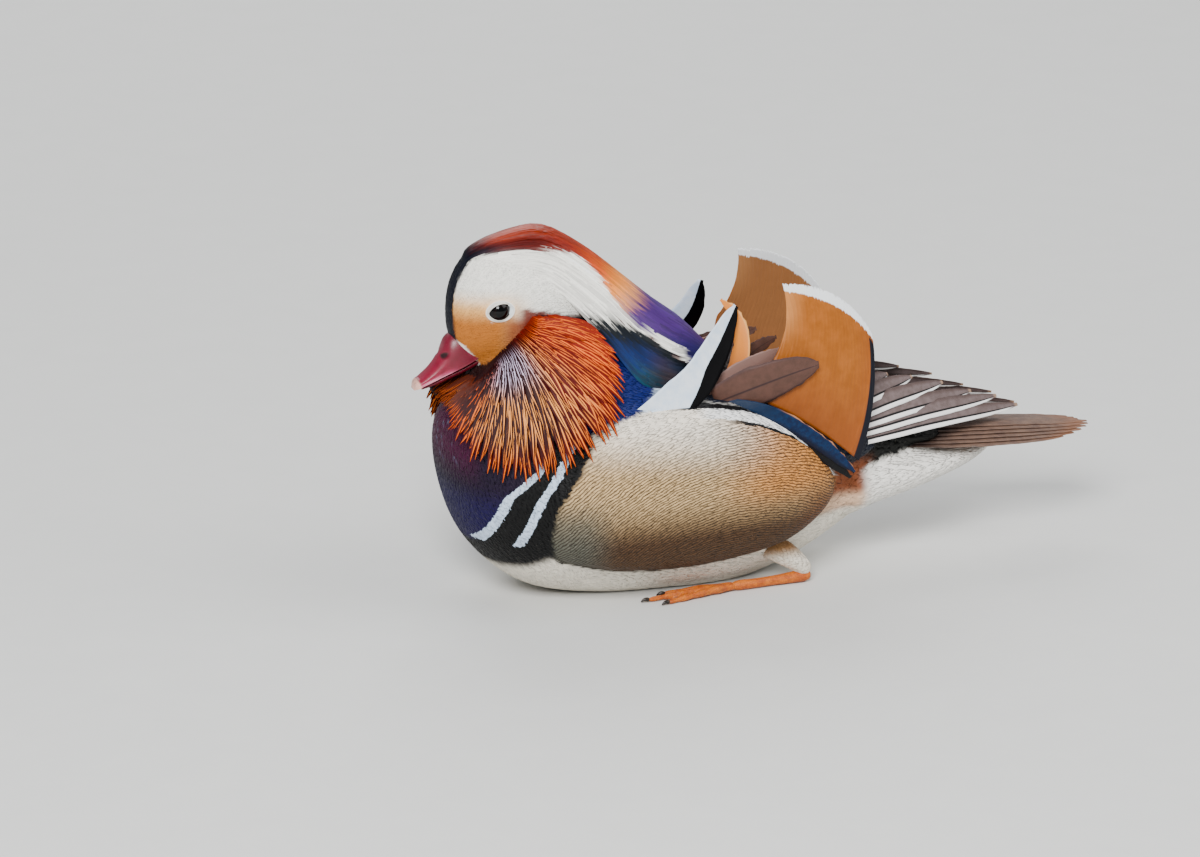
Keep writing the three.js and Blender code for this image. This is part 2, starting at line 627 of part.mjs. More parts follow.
function crestPlumes(clearance = 0) {
  const plumes = [];
  CREST_TIERS.forEach(({ from, to, lift, half, steps, angles }, tier) => {
    angles.forEach((fromRidge, k) => {
      const end = mix(from, to, 1 - 0.07 * chance(tier * 20 + k));
      const over = lift + PLUME_LAP * (k % 2);
      for (const side of fromRidge === 0 ? [1] : [1, -1]) {
        const liftAt = (t) => (t === 0 ? -PLUME_ROOTING : over);
        const at = (t) => crestPoint(mix(from, end, t), side * (fromRidge + 3 * t), liftAt(t));
        const across = vec(0, Math.cos(radians(fromRidge)), -side * Math.sin(radians(fromRidge)));
        const path = shares(3).map(at);
        plumes.push(lock({ path, across, half, thick: PLUME_THICK, root: 0.75, steps, clearance }));
      }
    });
  });
  return plumes;
}
const besideCrest = [aroundHead, aroundNeck, aroundTorso, aroundWingCores];
addNode('crest', toGeometry(cutBy(fuse([crestCap, ...crestPlumes()]), ...besideCrest)));
const aroundCrest = fuse([grown(crestCap, GAP), ...crestPlumes(GAP)]);

// Flank: the barred panel of long feathers that lies over the side and the folded wing
const flankShape = loft(FLANK, { rings: 13, sides: 16, power: 2.1 });
const aroundFlank = around([flankShape]);
addPair('flank', cutBy(solidOf(flankShape), aroundTorso, aroundWingCores));

// Tail: a fan of twelve feathers, the middle pair on top, from a core sunk in the rump
function tailFeather(pair, side) {
  const right = side > 0 ? 1 : 0;
  const level = TAIL_LEVEL - TAIL_STEP * (pair + 0.5 * right);
  const outward = side * (2.6 + TAIL_SPREAD * pair);
  const reach = TAIL_REACH - 0.75 * pair * pair - 2.5 * right;
  const path = [
    vec(TAIL_ROOT, 0.6 * outward, level),
    vec(mix(TAIL_ROOT, reach, 0.5), outward, level - 1.6),
    vec(reach, 1.05 * outward, level - TAIL_DROOP + 0.75 * pair),
  ];
  return vane({ path, across: vec(0, 1, 0), half: TAIL_HALF, steps: 3, columns: 2 });
}
const tailPieces = [loft(TAIL_CORE, { rings: 6, sides: 12, power: 2.2 })];
for (let pair = 0; pair < TAIL_PAIRS; pair += 1) {
  tailPieces.push(tailFeather(pair, -1), tailFeather(pair, 1));
}
addNode('tail', toGeometry(cutBy(fuse(tailPieces), aroundTorso)));
const aroundTail = around(tailPieces);

// Undertail coverts: the white puff below the tail
const undertailShape = loft(UNDERTAIL, { rings: 9, sides: 14 });
const aroundFlanks = around([flankShape, mirrored(flankShape)]);
addNode('undertail', toGeometry(cutBy(solidOf(undertailShape), aroundTorso, aroundTail, aroundFlanks)));

// Wing: folded along the back, its primaries closing over the rump and its secondaries beside the flank
function primary({ root, way, tip }) {
  const middle = way.clone().lerp(tip, 0.45).add(PRIMARY_BOW);
  const inward = 0.85 * PRIMARY_HALF; // from the outer edge to the shaft
  const path = [root, way, middle].map((p) => p.clone().addScaledVector(PRIMARY_ACROSS, inward));
  path.push(tip.clone().addScaledVector(PRIMARY_ACROSS, 1.5));
  return vane({ path, across: PRIMARY_ACROSS, half: PRIMARY_HALF, columns: 2 });
}

function secondary(level) {
  const path = SECONDARY.map((p) => p.clone().addScaledVector(SECONDARY_STEP, level));
  path[0].y += 2;
  return vane({ path, across: vec(0.45, -0.1, 0.85), half: SECONDARY_HALF, columns: 2 });
}

const tertial = ({ path, half }) => vane({
  path, across: vec(-0.3, -0.15, 0.94), half, tip: 3, camber: 0.08,
});
const wingVanes = [...PRIMARIES.map(primary), secondary(0), secondary(1), ...TERTIALS.map(tertial)];
const besideWingVanes = [aroundTorso, aroundFlank, aroundTail, aroundNeck];
const clearVanes = besideWingVanes.reduce((left, tool) => left.subtract(tool), fuse(wingVanes));
addPair('wing', largest(clearVanes.add(solidOf(wingCore))));
const aroundWing = around([wingCore, ...wingVanes]);

// Sail: one great upright tertial on each side, fan shaped, with a pale rounded rim.
// Its points lie at a share t from foot to rim, and a share u from the front edge to the rear edge.
function sailPoint(t, u) {
  const between = (from, to) => vec(mix(from[0], to[0], u), 0, mix(from[1], to[1], u));
  const hump = 4 * u * (1 - u);
  const foot = between(SAIL.frontFoot, SAIL.rearFoot).add(vec(0, 0, SAIL.footBow * hump));
  const rim = between(SAIL.frontTip, SAIL.rearTop).add(vec(0.54, 0, 0.84).multiplyScalar(SAIL.rimBow * hump));
  const arch = 4 * t * (1 - t);
  const bow = mix(SAIL.frontBow, SAIL.rearBow, Math.sqrt(u)) * arch;
  const point = foot.lerp(rim, t).add(vec(0.9 * bow, 0, -0.35 * bow * (1 - u)));
  return point.setY(mix(SAIL.footY, SAIL.topY, t) - 1.5 * arch * (1 + Math.sin(Math.PI * u)));
}
const sailGrid = shares(SAIL_STEPS).map((t) => shares(SAIL_STEPS).map((u) => sailPoint(t, u)));
const sailShape = sheet(sailGrid, (t) => mix(SAIL_THICK, SAIL_RIM_THICK, t));
const aroundSail = around([sailShape]);
addPair('sail', cutBy(solidOf(sailShape), aroundWing, aroundTorso, aroundFlank));

// Sickle: the lesser tertial in front of each sail
const sickleOf = (path) => vane({
  path, across: vec(0.9, 0, -0.25), half: SICKLE_HALF, steps: 6, tip: 2.6, camber: 0.12,
});
const [highSickle, lowSickle] = [SICKLE_HIGH, SICKLE_LOW].map(sickleOf);
const besideSickle = [aroundWing, aroundTorso, aroundSail];
addNode('sickle_left', toGeometry(cutBy(solidOf(highSickle), ...besideSickle)));
addNode('sickle_right', mirrored(toGeometry(cutBy(solidOf(lowSickle), ...besideSickle))));

// Scapulars: the long pointed feathers, half white and half black, that rise from each shoulder
const scapularCore = loft(SCAPULAR_CORE, { rings: 7, sides: 10 });
const SCAPULAR_VANE = { thick: 1, tip: 2.4, camber: 0.1 };
const scapularShort = vane({
  ...SCAPULAR_VANE, path: SCAPULAR_SHORT, across: vec(0.4, -0.3, -0.86), half: SCAPULAR_SHORT_HALF,
});
const scapularLong = (path) => vane({
  ...SCAPULAR_VANE, path, across: vec(0.55, -0.12, -0.83), half: SCAPULAR_LONG_HALF, steps: 6,
});
const [leftScapulars, rightScapulars] = [SCAPULAR_LEFT, SCAPULAR_RIGHT].map((path) => [
  scapularCore, scapularLong(path), scapularShort,
]);
const besideScapular = [aroundTorso, aroundFlank, aroundWing, aroundNeck, aroundSail, aroundCrest];
const clearOf = (pieces, sickle) => toGeometry(cutBy(fuse(pieces), ...besideScapular, around([sickle])));
addNode('scapular_left', clearOf(leftScapulars, highSickle));
addNode('scapular_right', mirrored(clearOf(rightScapulars, lowSickle)));

// Ruff: stiff pointed hackles that fan back and down from the cheek, in three tiers over a core.
// Its points lie at a share of the fan, a share of the way from the cheek to the ends, and a lift off it.
function ruffPoint(fan, way, lift) {
  const root = throughPoints(RUFF_ROOTS, fan);
  const end = throughPoints(RUFF_ENDS, fan);
  const length = end.distanceTo(root);
  const bend = mix(0.16, -0.02, fan) * length; // back and up, as the hackles leave the cheek
  const middle = root.clone().lerp(end, 0.5).add(vec(0.5 * bend, -0.16 * length, 0.85 * bend));
  root.lerp(middle, way);
  middle.lerp(end, way);
  return root.lerp(middle, way).add(vec(0, -lift, 0));
}

function ruffCore() {
  const rimLoop = (reach, lift) => {
    const rim = shares(9).map((fan) => ruffPoint(mix(0.02, 0.98, fan), RUFF_CORE_REACH * reach, lift));
    return [...rim, vec(-88, -14, 122)];
  };
  const [inner, outer] = [rimLoop(0.4, -0.8), rimLoop(1, -2)];
  const back = vec(-82, -10, 112); // the core's back lies in the neck
  const rear = outer.map((p) => vec(mix(p.x, back.x, 0.15), p.y + 7, mix(p.z, back.z, 0.15)));
  return skinOf(vec(-88, -18, 127), [inner, outer, rear], back);
}

function hackles() {
  const all = [];
  RUFF_TIERS.forEach(({ root, end, lift, count, half, steps }, tier) => {
    for (let k = 0; k < count; k += 1) {
      const seed = tier * 100 + k;
      const fan = (k + 0.5 + 0.3 * (chance(seed) - 0.5)) / count;
      const stop = end * (1 + 0.06 * (chance(seed + 50) - 0.5));
      const over = lift + HACKLE_LAP * (k % 2);
      const path = [0, 0.35, 0.7, 1].map((t) => {
        const raised = t === 0 ? -HACKLE_ROOTING : over * (1 - 0.3 * t);
        return ruffPoint(fan, mix(root, stop, t), raised);
      });
      const [before, after] = [Math.max(0, fan - 0.04), Math.min(1, fan + 0.04)];
      const across = ruffPoint(after, root, 0).sub(ruffPoint(before, root, 0));
      all.push(lock({ path, across, half, thick: HACKLE_THICK, root: 0.5, steps }));
    }
  });
  return all;
}
const besideRuff = [aroundHead, aroundNeck, aroundTorso, aroundCrest, aroundFlank, around(leftScapulars)];
const aroundFace = [aroundLowerBill, aroundUpperBill, around(bothLids)];
addPair('ruff', cutBy(fuse([ruffCore(), ...hackles()]), ...besideRuff, ...aroundFace));

// Legs and feet: folded beside the belly
const legPieces = [
  limb(THIGH, THIGH_RADII, { steps: 3, sides: 8 }),
  limb(SHANK, SHANK_RADII, { steps: 3, sides: 8 }),
];
const toePieces = TOE_TIPS.map((tip) => {
  const knuckle = FOOT_AT.clone().lerp(tip, 0.5).setZ(1.9);
  return limb([FOOT_AT, knuckle, tip], TOE_RADII, { steps: 2, sides: 5 });
});
const webRows = WEB_SHARES.map((share) => [0, 0.5, 1, 1.5, 2].map((toe) => {
  const end = TOE_TIPS[Math.floor(toe)].clone().lerp(TOE_TIPS[Math.ceil(toe)], toe % 1);
  return FOOT_AT.clone().lerp(end, toe % 1 === 0 ? share : WEB_HOLLOW * share).setZ(WEB_LEVEL);
}));
const hindToe = limb(HIND_TOE, HIND_TOE_RADII, { steps: 2, sides: 5 });
const footPieces = [...toePieces, sheet(webRows, () => 1), hindToe];
addPair('foot', cutBy(fuse(footPieces), aroundTorso, belowFloor, around(legPieces), aroundFlank));
addPair('leg', cutBy(fuse(legPieces), aroundTorso, belowFloor, aroundFlank));

export default bird;
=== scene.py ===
# A drake mandarin duck at life size, resting on its belly with the head drawn in.
# Sizes are in millimetres, and each mesh is written in metres: +X to the tail, -Y to the bird's left, +Z up.
import math
import bpy
import numpy as np
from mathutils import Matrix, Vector, kdtree


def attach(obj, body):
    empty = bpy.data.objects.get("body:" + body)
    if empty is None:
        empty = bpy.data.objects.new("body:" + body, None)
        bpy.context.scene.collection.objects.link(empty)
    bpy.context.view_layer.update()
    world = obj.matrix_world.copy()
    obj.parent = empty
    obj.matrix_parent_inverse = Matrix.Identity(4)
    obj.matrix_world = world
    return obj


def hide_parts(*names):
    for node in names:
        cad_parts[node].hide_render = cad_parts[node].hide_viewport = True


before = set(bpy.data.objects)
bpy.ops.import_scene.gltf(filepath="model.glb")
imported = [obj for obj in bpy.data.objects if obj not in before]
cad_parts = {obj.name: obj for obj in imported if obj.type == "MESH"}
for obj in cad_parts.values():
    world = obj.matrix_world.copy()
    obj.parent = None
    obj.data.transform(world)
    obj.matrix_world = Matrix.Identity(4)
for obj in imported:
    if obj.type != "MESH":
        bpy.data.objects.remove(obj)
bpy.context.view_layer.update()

# Skin: one seamless surface for head, neck, torso, flanks and undertail, a little inside their solids.
# On the bird it is down and skin over muscle, and here it carries the ground colour under the feathers.
MM = 0.001
SKIN_VOXEL = 1.5  # edge of the skin's squares
SKIN_DEPTH = 0.9  # the coat's depth over the skin
SKIN_SMOOTHING = 6
# Stations run from front to back: [x, y, z, up, down, wide] of a section round the middle line.
TORSO = [
    [-117.5, 0, 74, 0, 0, 0], [-114, 0, 73, 18, 22, 22], [-104, 0, 68, 32, 41, 37],
    [-81, 0, 61, 40, 55, 49], [-50, 0, 58, 48, 61, 53], [-15, 0, 56, 55, 62, 53.5],
    [22, 0, 55, 56, 61, 50], [55, 0, 54, 48, 51, 42], [84, 0, 54, 34, 36, 30],
    [107, 0, 55, 21, 21, 21], [124, 0, 57, 9, 10, 12], [132, 0, 58, 0, 0, 0],
]
HEAD = [
    [-113.5, 0, 141, 0, 0, 0], [-111.8, 0, 141, 13, 13.5, 7], [-107.5, 0, 141.5, 22.5, 22, 12],
    [-100, 0, 142, 30, 27, 16], [-90, 0, 142.5, 32.5, 31, 19], [-77, 0, 142, 33.5, 33, 21.5],
    [-62, 0, 140.5, 32, 33, 22.5], [-46, 0, 137, 27.5, 30, 21.5], [-33, 0, 132, 19, 20, 16.5],
    [-27, 0, 130, 0, 0, 0],
]
NECK = [
    [-110, 0, 98, 0, 0, 0], [-104, 0, 100, 10, 14, 20], [-90, 0, 103, 20, 22, 31],
    [-70, 0, 105, 23, 26, 37], [-50, 0, 104, 25, 24, 39.5], [-30, 0, 101, 26, 20, 38.5],
    [-13, 0, 99, 21, 16, 34], [2, 0, 99, 13, 10, 25], [9, 0, 100, 0, 0, 0],
]
FLANK = [
    [-80, -40, 47, 0, 0, 0], [-74, -41, 49, 19, 20, 11], [-60, -43, 54, 29.5, 31, 16.5],
    [-38, -44, 58, 37.5, 40, 18.5], [-8, -44, 59, 40, 42, 18.5], [20, -43, 57, 37.5, 38, 18],
    [42, -40.5, 54, 29.5, 31, 16], [58, -37.5, 51, 18.5, 20, 13], [67, -35.5, 49, 8, 9, 9],
    [70, -35, 49, 0, 0, 0],
]
UNDERTAIL = [
    [72, 0, 40, 0, 0, 0], [80, 0, 41, 16, 19, 31], [100, 0, 44, 14, 18, 31],
    [124, 0, 46, 9.5, 14, 26.5], [146, 0, 48, 5, 9.5, 18], [159, 0, 48.5, 2.5, 4.5, 9],
    [166, 0, 49, 0, 0, 0],
]
WING_BODY = [
    [-44, -33, 84, 0, 0, 0], [-38, -34, 84, 11, 11, 7], [-18, -36, 84, 16, 17, 10.5],
    [12, -37, 83, 16.5, 17, 11], [38, -36, 77.5, 15, 15, 10.5], [60, -34, 70, 13, 13, 9.5],
    [80, -31.5, 65, 9.5, 9, 7.5], [94, -29, 63, 0, 0, 0],
]
SHOULDER = [
    [-58, -36, 88, 0, 0, 0], [-52, -37, 90, 8, 9, 7], [-36, -37.5, 93, 11.5, 12, 9.5],
    [-16, -36, 95, 11, 12, 9.5], [-3, -35, 97, 6, 7, 6], [3, -34, 98, 0, 0, 0],
]
RUMP = [
    [88, 0, 62, 0, 0, 0], [96, 0, 62, 6.5, 6.5, 15], [113, 0, 60.5, 5.5, 6, 20],
    [128, 0, 59.5, 3.5, 4, 19], [138, 0, 58.5, 0, 0, 0],
]


def through(values, share):
    """The smooth curve through equally spaced rows of values, read at shares from 0 to 1."""
    values = np.asarray(values, float)
    last = len(values) - 1
    at = np.clip(np.asarray(share, float), 0, 1) * last
    i = np.minimum(at.astype(int), last - 1)
    t = (at - i).reshape(at.shape + (1,) * (values.ndim - 1))
    padded = np.concatenate([[2 * values[0] - values[1]], values, [2 * values[-1] - values[-2]]])
    p0, p1, p2, p3 = (padded[i + k] for k in range(4))
    square = 2 * p0 - 5 * p1 + 4 * p2 - p3
    cube = 3 * p1 - p0 - 3 * p2 + p3
    return p1 + 0.5 * ((p2 - p0) * t + square * t ** 2 + cube * t ** 3)


def stations(rows, shares):
    """Sections of a rounded body at shares of its length. Its ends are poles, passed as a round nose is."""
    rows = np.asarray(rows, float)
    nose = np.array([1, 1, 1, -1, -1, -1])
    padded = np.concatenate([[rows[1] * nose], rows, [rows[-2] * nose]])
    last = len(rows) - 1
    return through(padded, (np.asarray(shares) * last + 1) / (last + 2))


def section_at(rows, x):
    """A rounded body's section at places along it: its middle's y and z, and how far up, down and wide."""
    table = stations(rows, np.linspace(0, 1, 200)).T
    return [np.interp(x, table[0], column) for column in table[1:]]


def mesh_of(name, points, faces):
    """A smooth mesh from points in millimetres."""
    mesh = bpy.data.meshes.new(name)
    mesh.from_pydata((np.asarray(points, float) * MM).tolist(), [], [list(map(int, f)) for f in faces])
    mesh.shade_smooth()
    return mesh


def piece(name, mesh, material=None):
    """An object at the origin that holds the mesh, in its finish."""
    if material:
        mesh.materials.append(material)
    thing = bpy.data.objects.new(name, mesh)
    bpy.context.scene.collection.objects.link(thing)
    return thing


def fasten(thing, slot, *replaced):
    """Fixes a piece to the bird's one body, in place of the solids that are named."""
    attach(thing, "root")
    if replaced:
        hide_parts(*replaced)


def shaped(thing):
    """The object with its modifiers done and gone."""
    bpy.context.view_layer.update()
    graph = bpy.context.evaluated_depsgraph_get()
    final = thing.evaluated_get(graph)
    made = bpy.data.meshes.new_from_object(final, preserve_all_data_layers=True, depsgraph=graph)
    thing.modifiers.clear()
    thing.data = made
    return thing


def loft(rows, rings=48, sides=48, power=2.0):
    """Points and faces of a rounded body through its sections, closed at both poles."""
    turn = np.arange(sides) / sides * 2 * math.pi
    across = np.sign(np.cos(turn)) * abs(np.cos(turn)) ** (2 / power)
    upward = np.sign(np.sin(turn)) * abs(np.sin(turn)) ** (2 / power)
    points = [np.array(rows[0][:3], float)[None]]
    for x, y, z, up, down, wide in stations(rows, np.arange(1, rings) / rings):
        high = np.where(upward > 0, up, down) * upward
        points.append(np.stack([np.full(sides, x), y + wide * across, z + high], 1))
    points.append(np.array(rows[-1][:3], float)[None])
    end = 1 + (rings - 1) * sides
    faces = []
    for s in range(sides):
        n = (s + 1) % sides
        faces.append((0, 1 + n, 1 + s))
        faces.append((end, end - sides + s, end - sides + n))
        for r in range(rings - 2):
            a = 1 + r * sides
            faces.append((a + s, a + n, a + sides + n, a + sides + s))
    return np.concatenate(points), faces


def join(parts):
    """Several lots of points and faces as one lot."""
    points, faces, count = [], [], 0
    for some_points, some_faces in parts:
        points.append(some_points)
        faces += [tuple(i + count for i in face) for face in some_faces]
        count += len(some_points)
    return np.concatenate(points), faces


def on_side(part, side):
    """A part of the left side as it is, or the same shape on the bird's right side."""
    points, faces = part
    if side > 0:
        return points, faces
    return points * np.array([1, -1, 1]), [tuple(reversed(face)) for face in faces]


def fused(name, parts, voxel, smoothing_steps):
    """Several closed shapes grown together into one skin."""
    thing = piece(name, mesh_of(name, *join(parts)))
    remesh = thing.modifiers.new("remesh", "REMESH")
    remesh.mode = "VOXEL"
    remesh.voxel_size = voxel * MM
    smoothing = thing.modifiers.new("smooth", "SMOOTH")
    smoothing.iterations = smoothing_steps
    shaped(thing).data.shade_smooth()
    return thing


def vertex_array(mesh, what="co"):
    """The mesh's points in millimetres, or its normals."""
    values = np.zeros(len(mesh.vertices) * 3, np.float32)
    if what == "co":
        mesh.vertices.foreach_get("co", values)
        return values.reshape(-1, 3).astype(float) / MM
    mesh.vertex_normals.foreach_get("vector", values)
    return values.reshape(-1, 3).astype(float)


def place_points(mesh, points):
    mesh.vertices.foreach_set("co", (points * MM).astype(np.float32).ravel())
    mesh.update()


flesh_parts = [loft(TORSO, power=2.1), loft(HEAD, power=2.1), loft(NECK), loft(UNDERTAIL), loft(RUMP)]
for one_side in (loft(FLANK, power=2.1), loft(WING_BODY), loft(SHOULDER)):
    flesh_parts += [one_side, on_side(one_side, -1)]
skin = fused("skin", flesh_parts, SKIN_VOXEL, SKIN_SMOOTHING)
skin_mesh = skin.data
skin_points = vertex_array(skin_mesh) - SKIN_DEPTH * vertex_array(skin_mesh, "normal")
skin_points[:, 2] = np.maximum(skin_points[:, 2], SKIN_DEPTH)
place_points(skin_mesh, skin_points)
skin_points = vertex_array(skin_mesh)


# The eyeballs sit in hollows of the skin, inside the lids.
EYE_AT = np.array([-91.7, -14.6, 144.7])
EYE_RADIUS = 5.6
LID_HALF = (5.2, 3.95)  # half the opening's length and height
LID_TILT = math.radians(11)
SOCKET_DEPTH = 2.4


def oval_reach(points, middle, half, tilt):
    """How far points lie from the middle of a tilted oval, seen from the side, where 1 is its edge."""
    dx, dz = points[..., 0] - middle[0], points[..., 2] - middle[-1]
    along = dx * math.cos(tilt) + dz * math.sin(tilt)
    upward = dz * math.cos(tilt) - dx * math.sin(tilt)
    return np.hypot(along / half[0], upward / half[1])


def around_eye(points):
    return oval_reach(points, EYE_AT, LID_HALF, LID_TILT)


in_socket = (around_eye(skin_points) < 1.0) & (abs(skin_points[:, 1]) > 11)
skin_points[in_socket, 1] -= np.sign(skin_points[in_socket, 1]) * SOCKET_DEPTH
place_points(skin_mesh, skin_points)

# The skin is unwrapped by its own shape, in islands of like direction.
bpy.context.view_layer.objects.active = skin
skin.select_set(True)
bpy.ops.object.mode_set(mode="EDIT")
bpy.ops.mesh.select_all(action="SELECT")
bpy.ops.uv.smart_project(angle_limit=math.radians(70), island_margin=0.004)
bpy.ops.object.mode_set(mode="OBJECT")
skin_mesh.uv_layers.active.name = "OFBake"


# Markings: the colours of the plumage over the body, as functions of the place on it.
# On the bird they are pigment. Here they tint the skin, and each feather takes what is under it.
PAINT_DEPTH = 1.16


def paint(code):
    """A colour written as on a paint card, in light values, and a little deeper, as studio light pales it."""
    channels = np.array([int(code[i:i + 2], 16) for i in (0, 2, 4)]) / 255
    light = np.where(channels <= 0.04045, channels / 12.92, ((channels + 0.055) / 1.055) ** 2.4)
    grey = light.mean()
    return np.clip(grey + (light - grey) * PAINT_DEPTH, 0, 1) ** PAINT_DEPTH


def soft(low, high, value):
    """0 below low, 1 above high and a smooth step between, also where low is the higher one."""
    t = np.clip((np.asarray(value, float) - low) / (high - low), 0, 1)
    return t * t * (3 - 2 * t)


def painted(code, count, *layers):
    """A ground in one colour, with others laid over it, each where its mask is 1."""
    colour = np.tile(paint(code), (count, 1))
    for layer, mask in layers:
        colour = colour + (paint(layer) - colour) * np.asarray(mask)[:, None]
    return colour


def level(rows, points):
    """How far out points lie from a rounded body's middle line, where 1 is its surface."""
    here = points[:, 0]
    mid_y, mid_z, high, low, half = section_at(rows, here)
    tall = np.where(points[:, 2] > mid_z, high, low)
    beyond = np.maximum(0, np.maximum(rows[0][0] - here, here - rows[-1][0]))
    across = (abs(points[:, 1]) - abs(mid_y)) / np.maximum(half, 1)
    return np.hypot(across, (points[:, 2] - mid_z) / np.maximum(tall, 1)) + beyond


BODIES = {
    "torso": TORSO, "head": HEAD, "neck": NECK, "flank": FLANK, "undertail": UNDERTAIL, "wing": WING_BODY,
    "shoulder": SHOULDER, "rump": RUMP,
}


def levels(points):
    """The same for every body of the flesh, by its name."""
    return {name: level(rows, points) for name, rows in BODIES.items()}


def on_line(at, line):
    """The height of a line of [place, height] at places."""
    return np.interp(at, *zip(*line))


# On the crown, the dark and rufous band is this wide to each side of the middle, by the angle round the head.
CROWN_MIDDLE = (-70, 135)
CROWN_HALF = [
    (-10, 6.3), (7, 6.3), (18, 5.5), (33, 5.3), (47, 5.5), (54, 8), (67, 11.4), (77, 12.7), (88, 13.7),
    (102, 15.6), (118, 14.8), (128, 18), (137, 20), (147, 23.5), (160, 26.8), (173, 29), (182, 30.7), (190, 29.4),
    (196, 25.9), (205, 22),
]
# The white brow's lower edge, as x and z
BROW_FOOT = [
    (-87, 145.4), (-79, 145.1), (-68, 143), (-58, 140.2), (-49, 140.3), (-42, 139.3), (-36, 137.2), (-24, 131),
    (-14, 121.5), (0, 112),
]
# The edge of the feathers at the bill, as x and z
BILL_FEATHERS = [(-112.5, 134), (-110.5, 130.8), (-106.5, 127.8), (-101.3, 121.5), (-97.1, 116), (-94, 111)]


def head_colour(points):
    """Head and crest: dark and rufous crown, white brow, buff cheek, and green and blue below the brow."""
    x, y, z = points.T
    side, count = abs(y), len(points)
    from_middle = x - CROWN_MIDDLE[0], z - CROWN_MIDDLE[1]
    turn = np.degrees(np.arctan2(from_middle[1], -from_middle[0]))
    turn = np.where(turn < -90, turn + 360, turn)  # from the forehead over the crown to the nape
    over_brow = z - on_line(x, BROW_FOOT)
    under_brow = soft(0.5, -0.5, over_brow)
    bill_edge = (z - on_line(x, BILL_FEATHERS) + 2.6) * 0.68
    below = under_brow * soft(-66, -60, x)
    teal = below * soft(-2, -10, over_brow + 5 * soft(-20, -45, x)) * soft(-54, -42, x)
    colour = painted(
        "f3f1ea", count,
        ("e6b05a", 0.85 * soft(156, 144, z) * soft(-74, -92, x)),
        ("ab6a12", 0.9 * soft(148, 137, z) * soft(-78, -94, x)),
        ("8c4a14", 0.9 * soft(144, 137, z) * soft(-93, -85, x) * under_brow),
        ("6c2610", 0.95 * soft(-85, -79, x) * under_brow),
        ("edf0f0", soft(1.36, 1.2, around_eye(points)) * (side > 12)),
        ("f2efe8", soft(1.25, 0.6, bill_edge) * soft(-93, -96, x) * soft(4, 6, side)),
        ("04121a", below),
        ("0a2f60", teal),
        ("0a4a4c", teal * soft(120, 110, z) * 0.7),
        ("4a3430", teal * soft(-28, -14, x) * 0.7),
    )
    edge = on_line(turn, CROWN_HALF)
    # Painted highlight: the crest is lighter along its top ridge, rufous over the front and purple behind, where
    # the light falls on it from above.
    ridge = soft(0.75, 0.3, side / np.maximum(edge, 1)) * soft(45, 70, turn)
    band = painted(
        "070d1f", count,
        ("25101f", soft(42, 56, turn)),
        ("5b1a16", soft(54, 72, turn)),
        ("7e2914", soft(80, 110, turn)),
        ("bf5826", soft(112, 135, turn)),
        ("e8984f", soft(138, 156, turn)),
        ("dfa478", soft(154, 166, turn)),
        ("4f2e70", soft(162, 174, turn)),
        ("262262", soft(184, 196, turn)),
        ("b84e28", 0.55 * ridge * soft(150, 120, turn)),
        ("5a3a84", 0.4 * ridge * soft(165, 180, turn)),
    )
    crown = np.maximum(soft(0.5, -0.5, side - edge), soft(-3, 0, x)) * (1 - below)
    crown = (crown * soft(20, 28, np.hypot(*from_middle)))[:, None]
    return colour * (1 - crown) + band * crown


# The flank's front edge, as z and x
FLANK_FRONT = [(24, -72), (40, -76), (55, -73.6), (79, -59), (88, -54), (94, -60), (110, -90)]
# Up to where the shoulder is white, under the blue of the neck, as x and z
SHOULDER_WHITE = [(-56, 78), (-45, 86), (-34, 94.5), (-26, 101), (-17, 109), (5, 120)]
# The white belly's upper edge, as x and z
BELLY_TOP = [(-117, 18), (-100, 18), (-84, 22), (-70, 30), (60, 34), (110, 40)]
# The two white bars on the side of the breast: x and z at the top and at the foot
BREAST_BARS = [((-81, 73.5), (-95.4, 60)), ((-65.7, 82.1), (-81.7, 58.2))]
BAR_HALF = 1.7


def flank_rim(points):
    """0 on the flank's long axis and 1 on its outline, seen from the side."""
    _, mid, high, _, _ = section_at(FLANK, points[:, 0])
    return np.clip((points[:, 2] - mid) / np.maximum(high, 1), -1, 1) * (points[:, 2] > mid)


def beyond_bar(points, number):
    """How far behind a bar's middle line points lie."""
    top, foot = BREAST_BARS[number]
    line = [(foot[1] - 30, foot[0] - 10), (foot[1], foot[0]), (top[1], top[0]), (top[1] + 20, top[0] + 4)]
    return (points[:, 0] - on_line(points[:, 2], line)) * 0.8


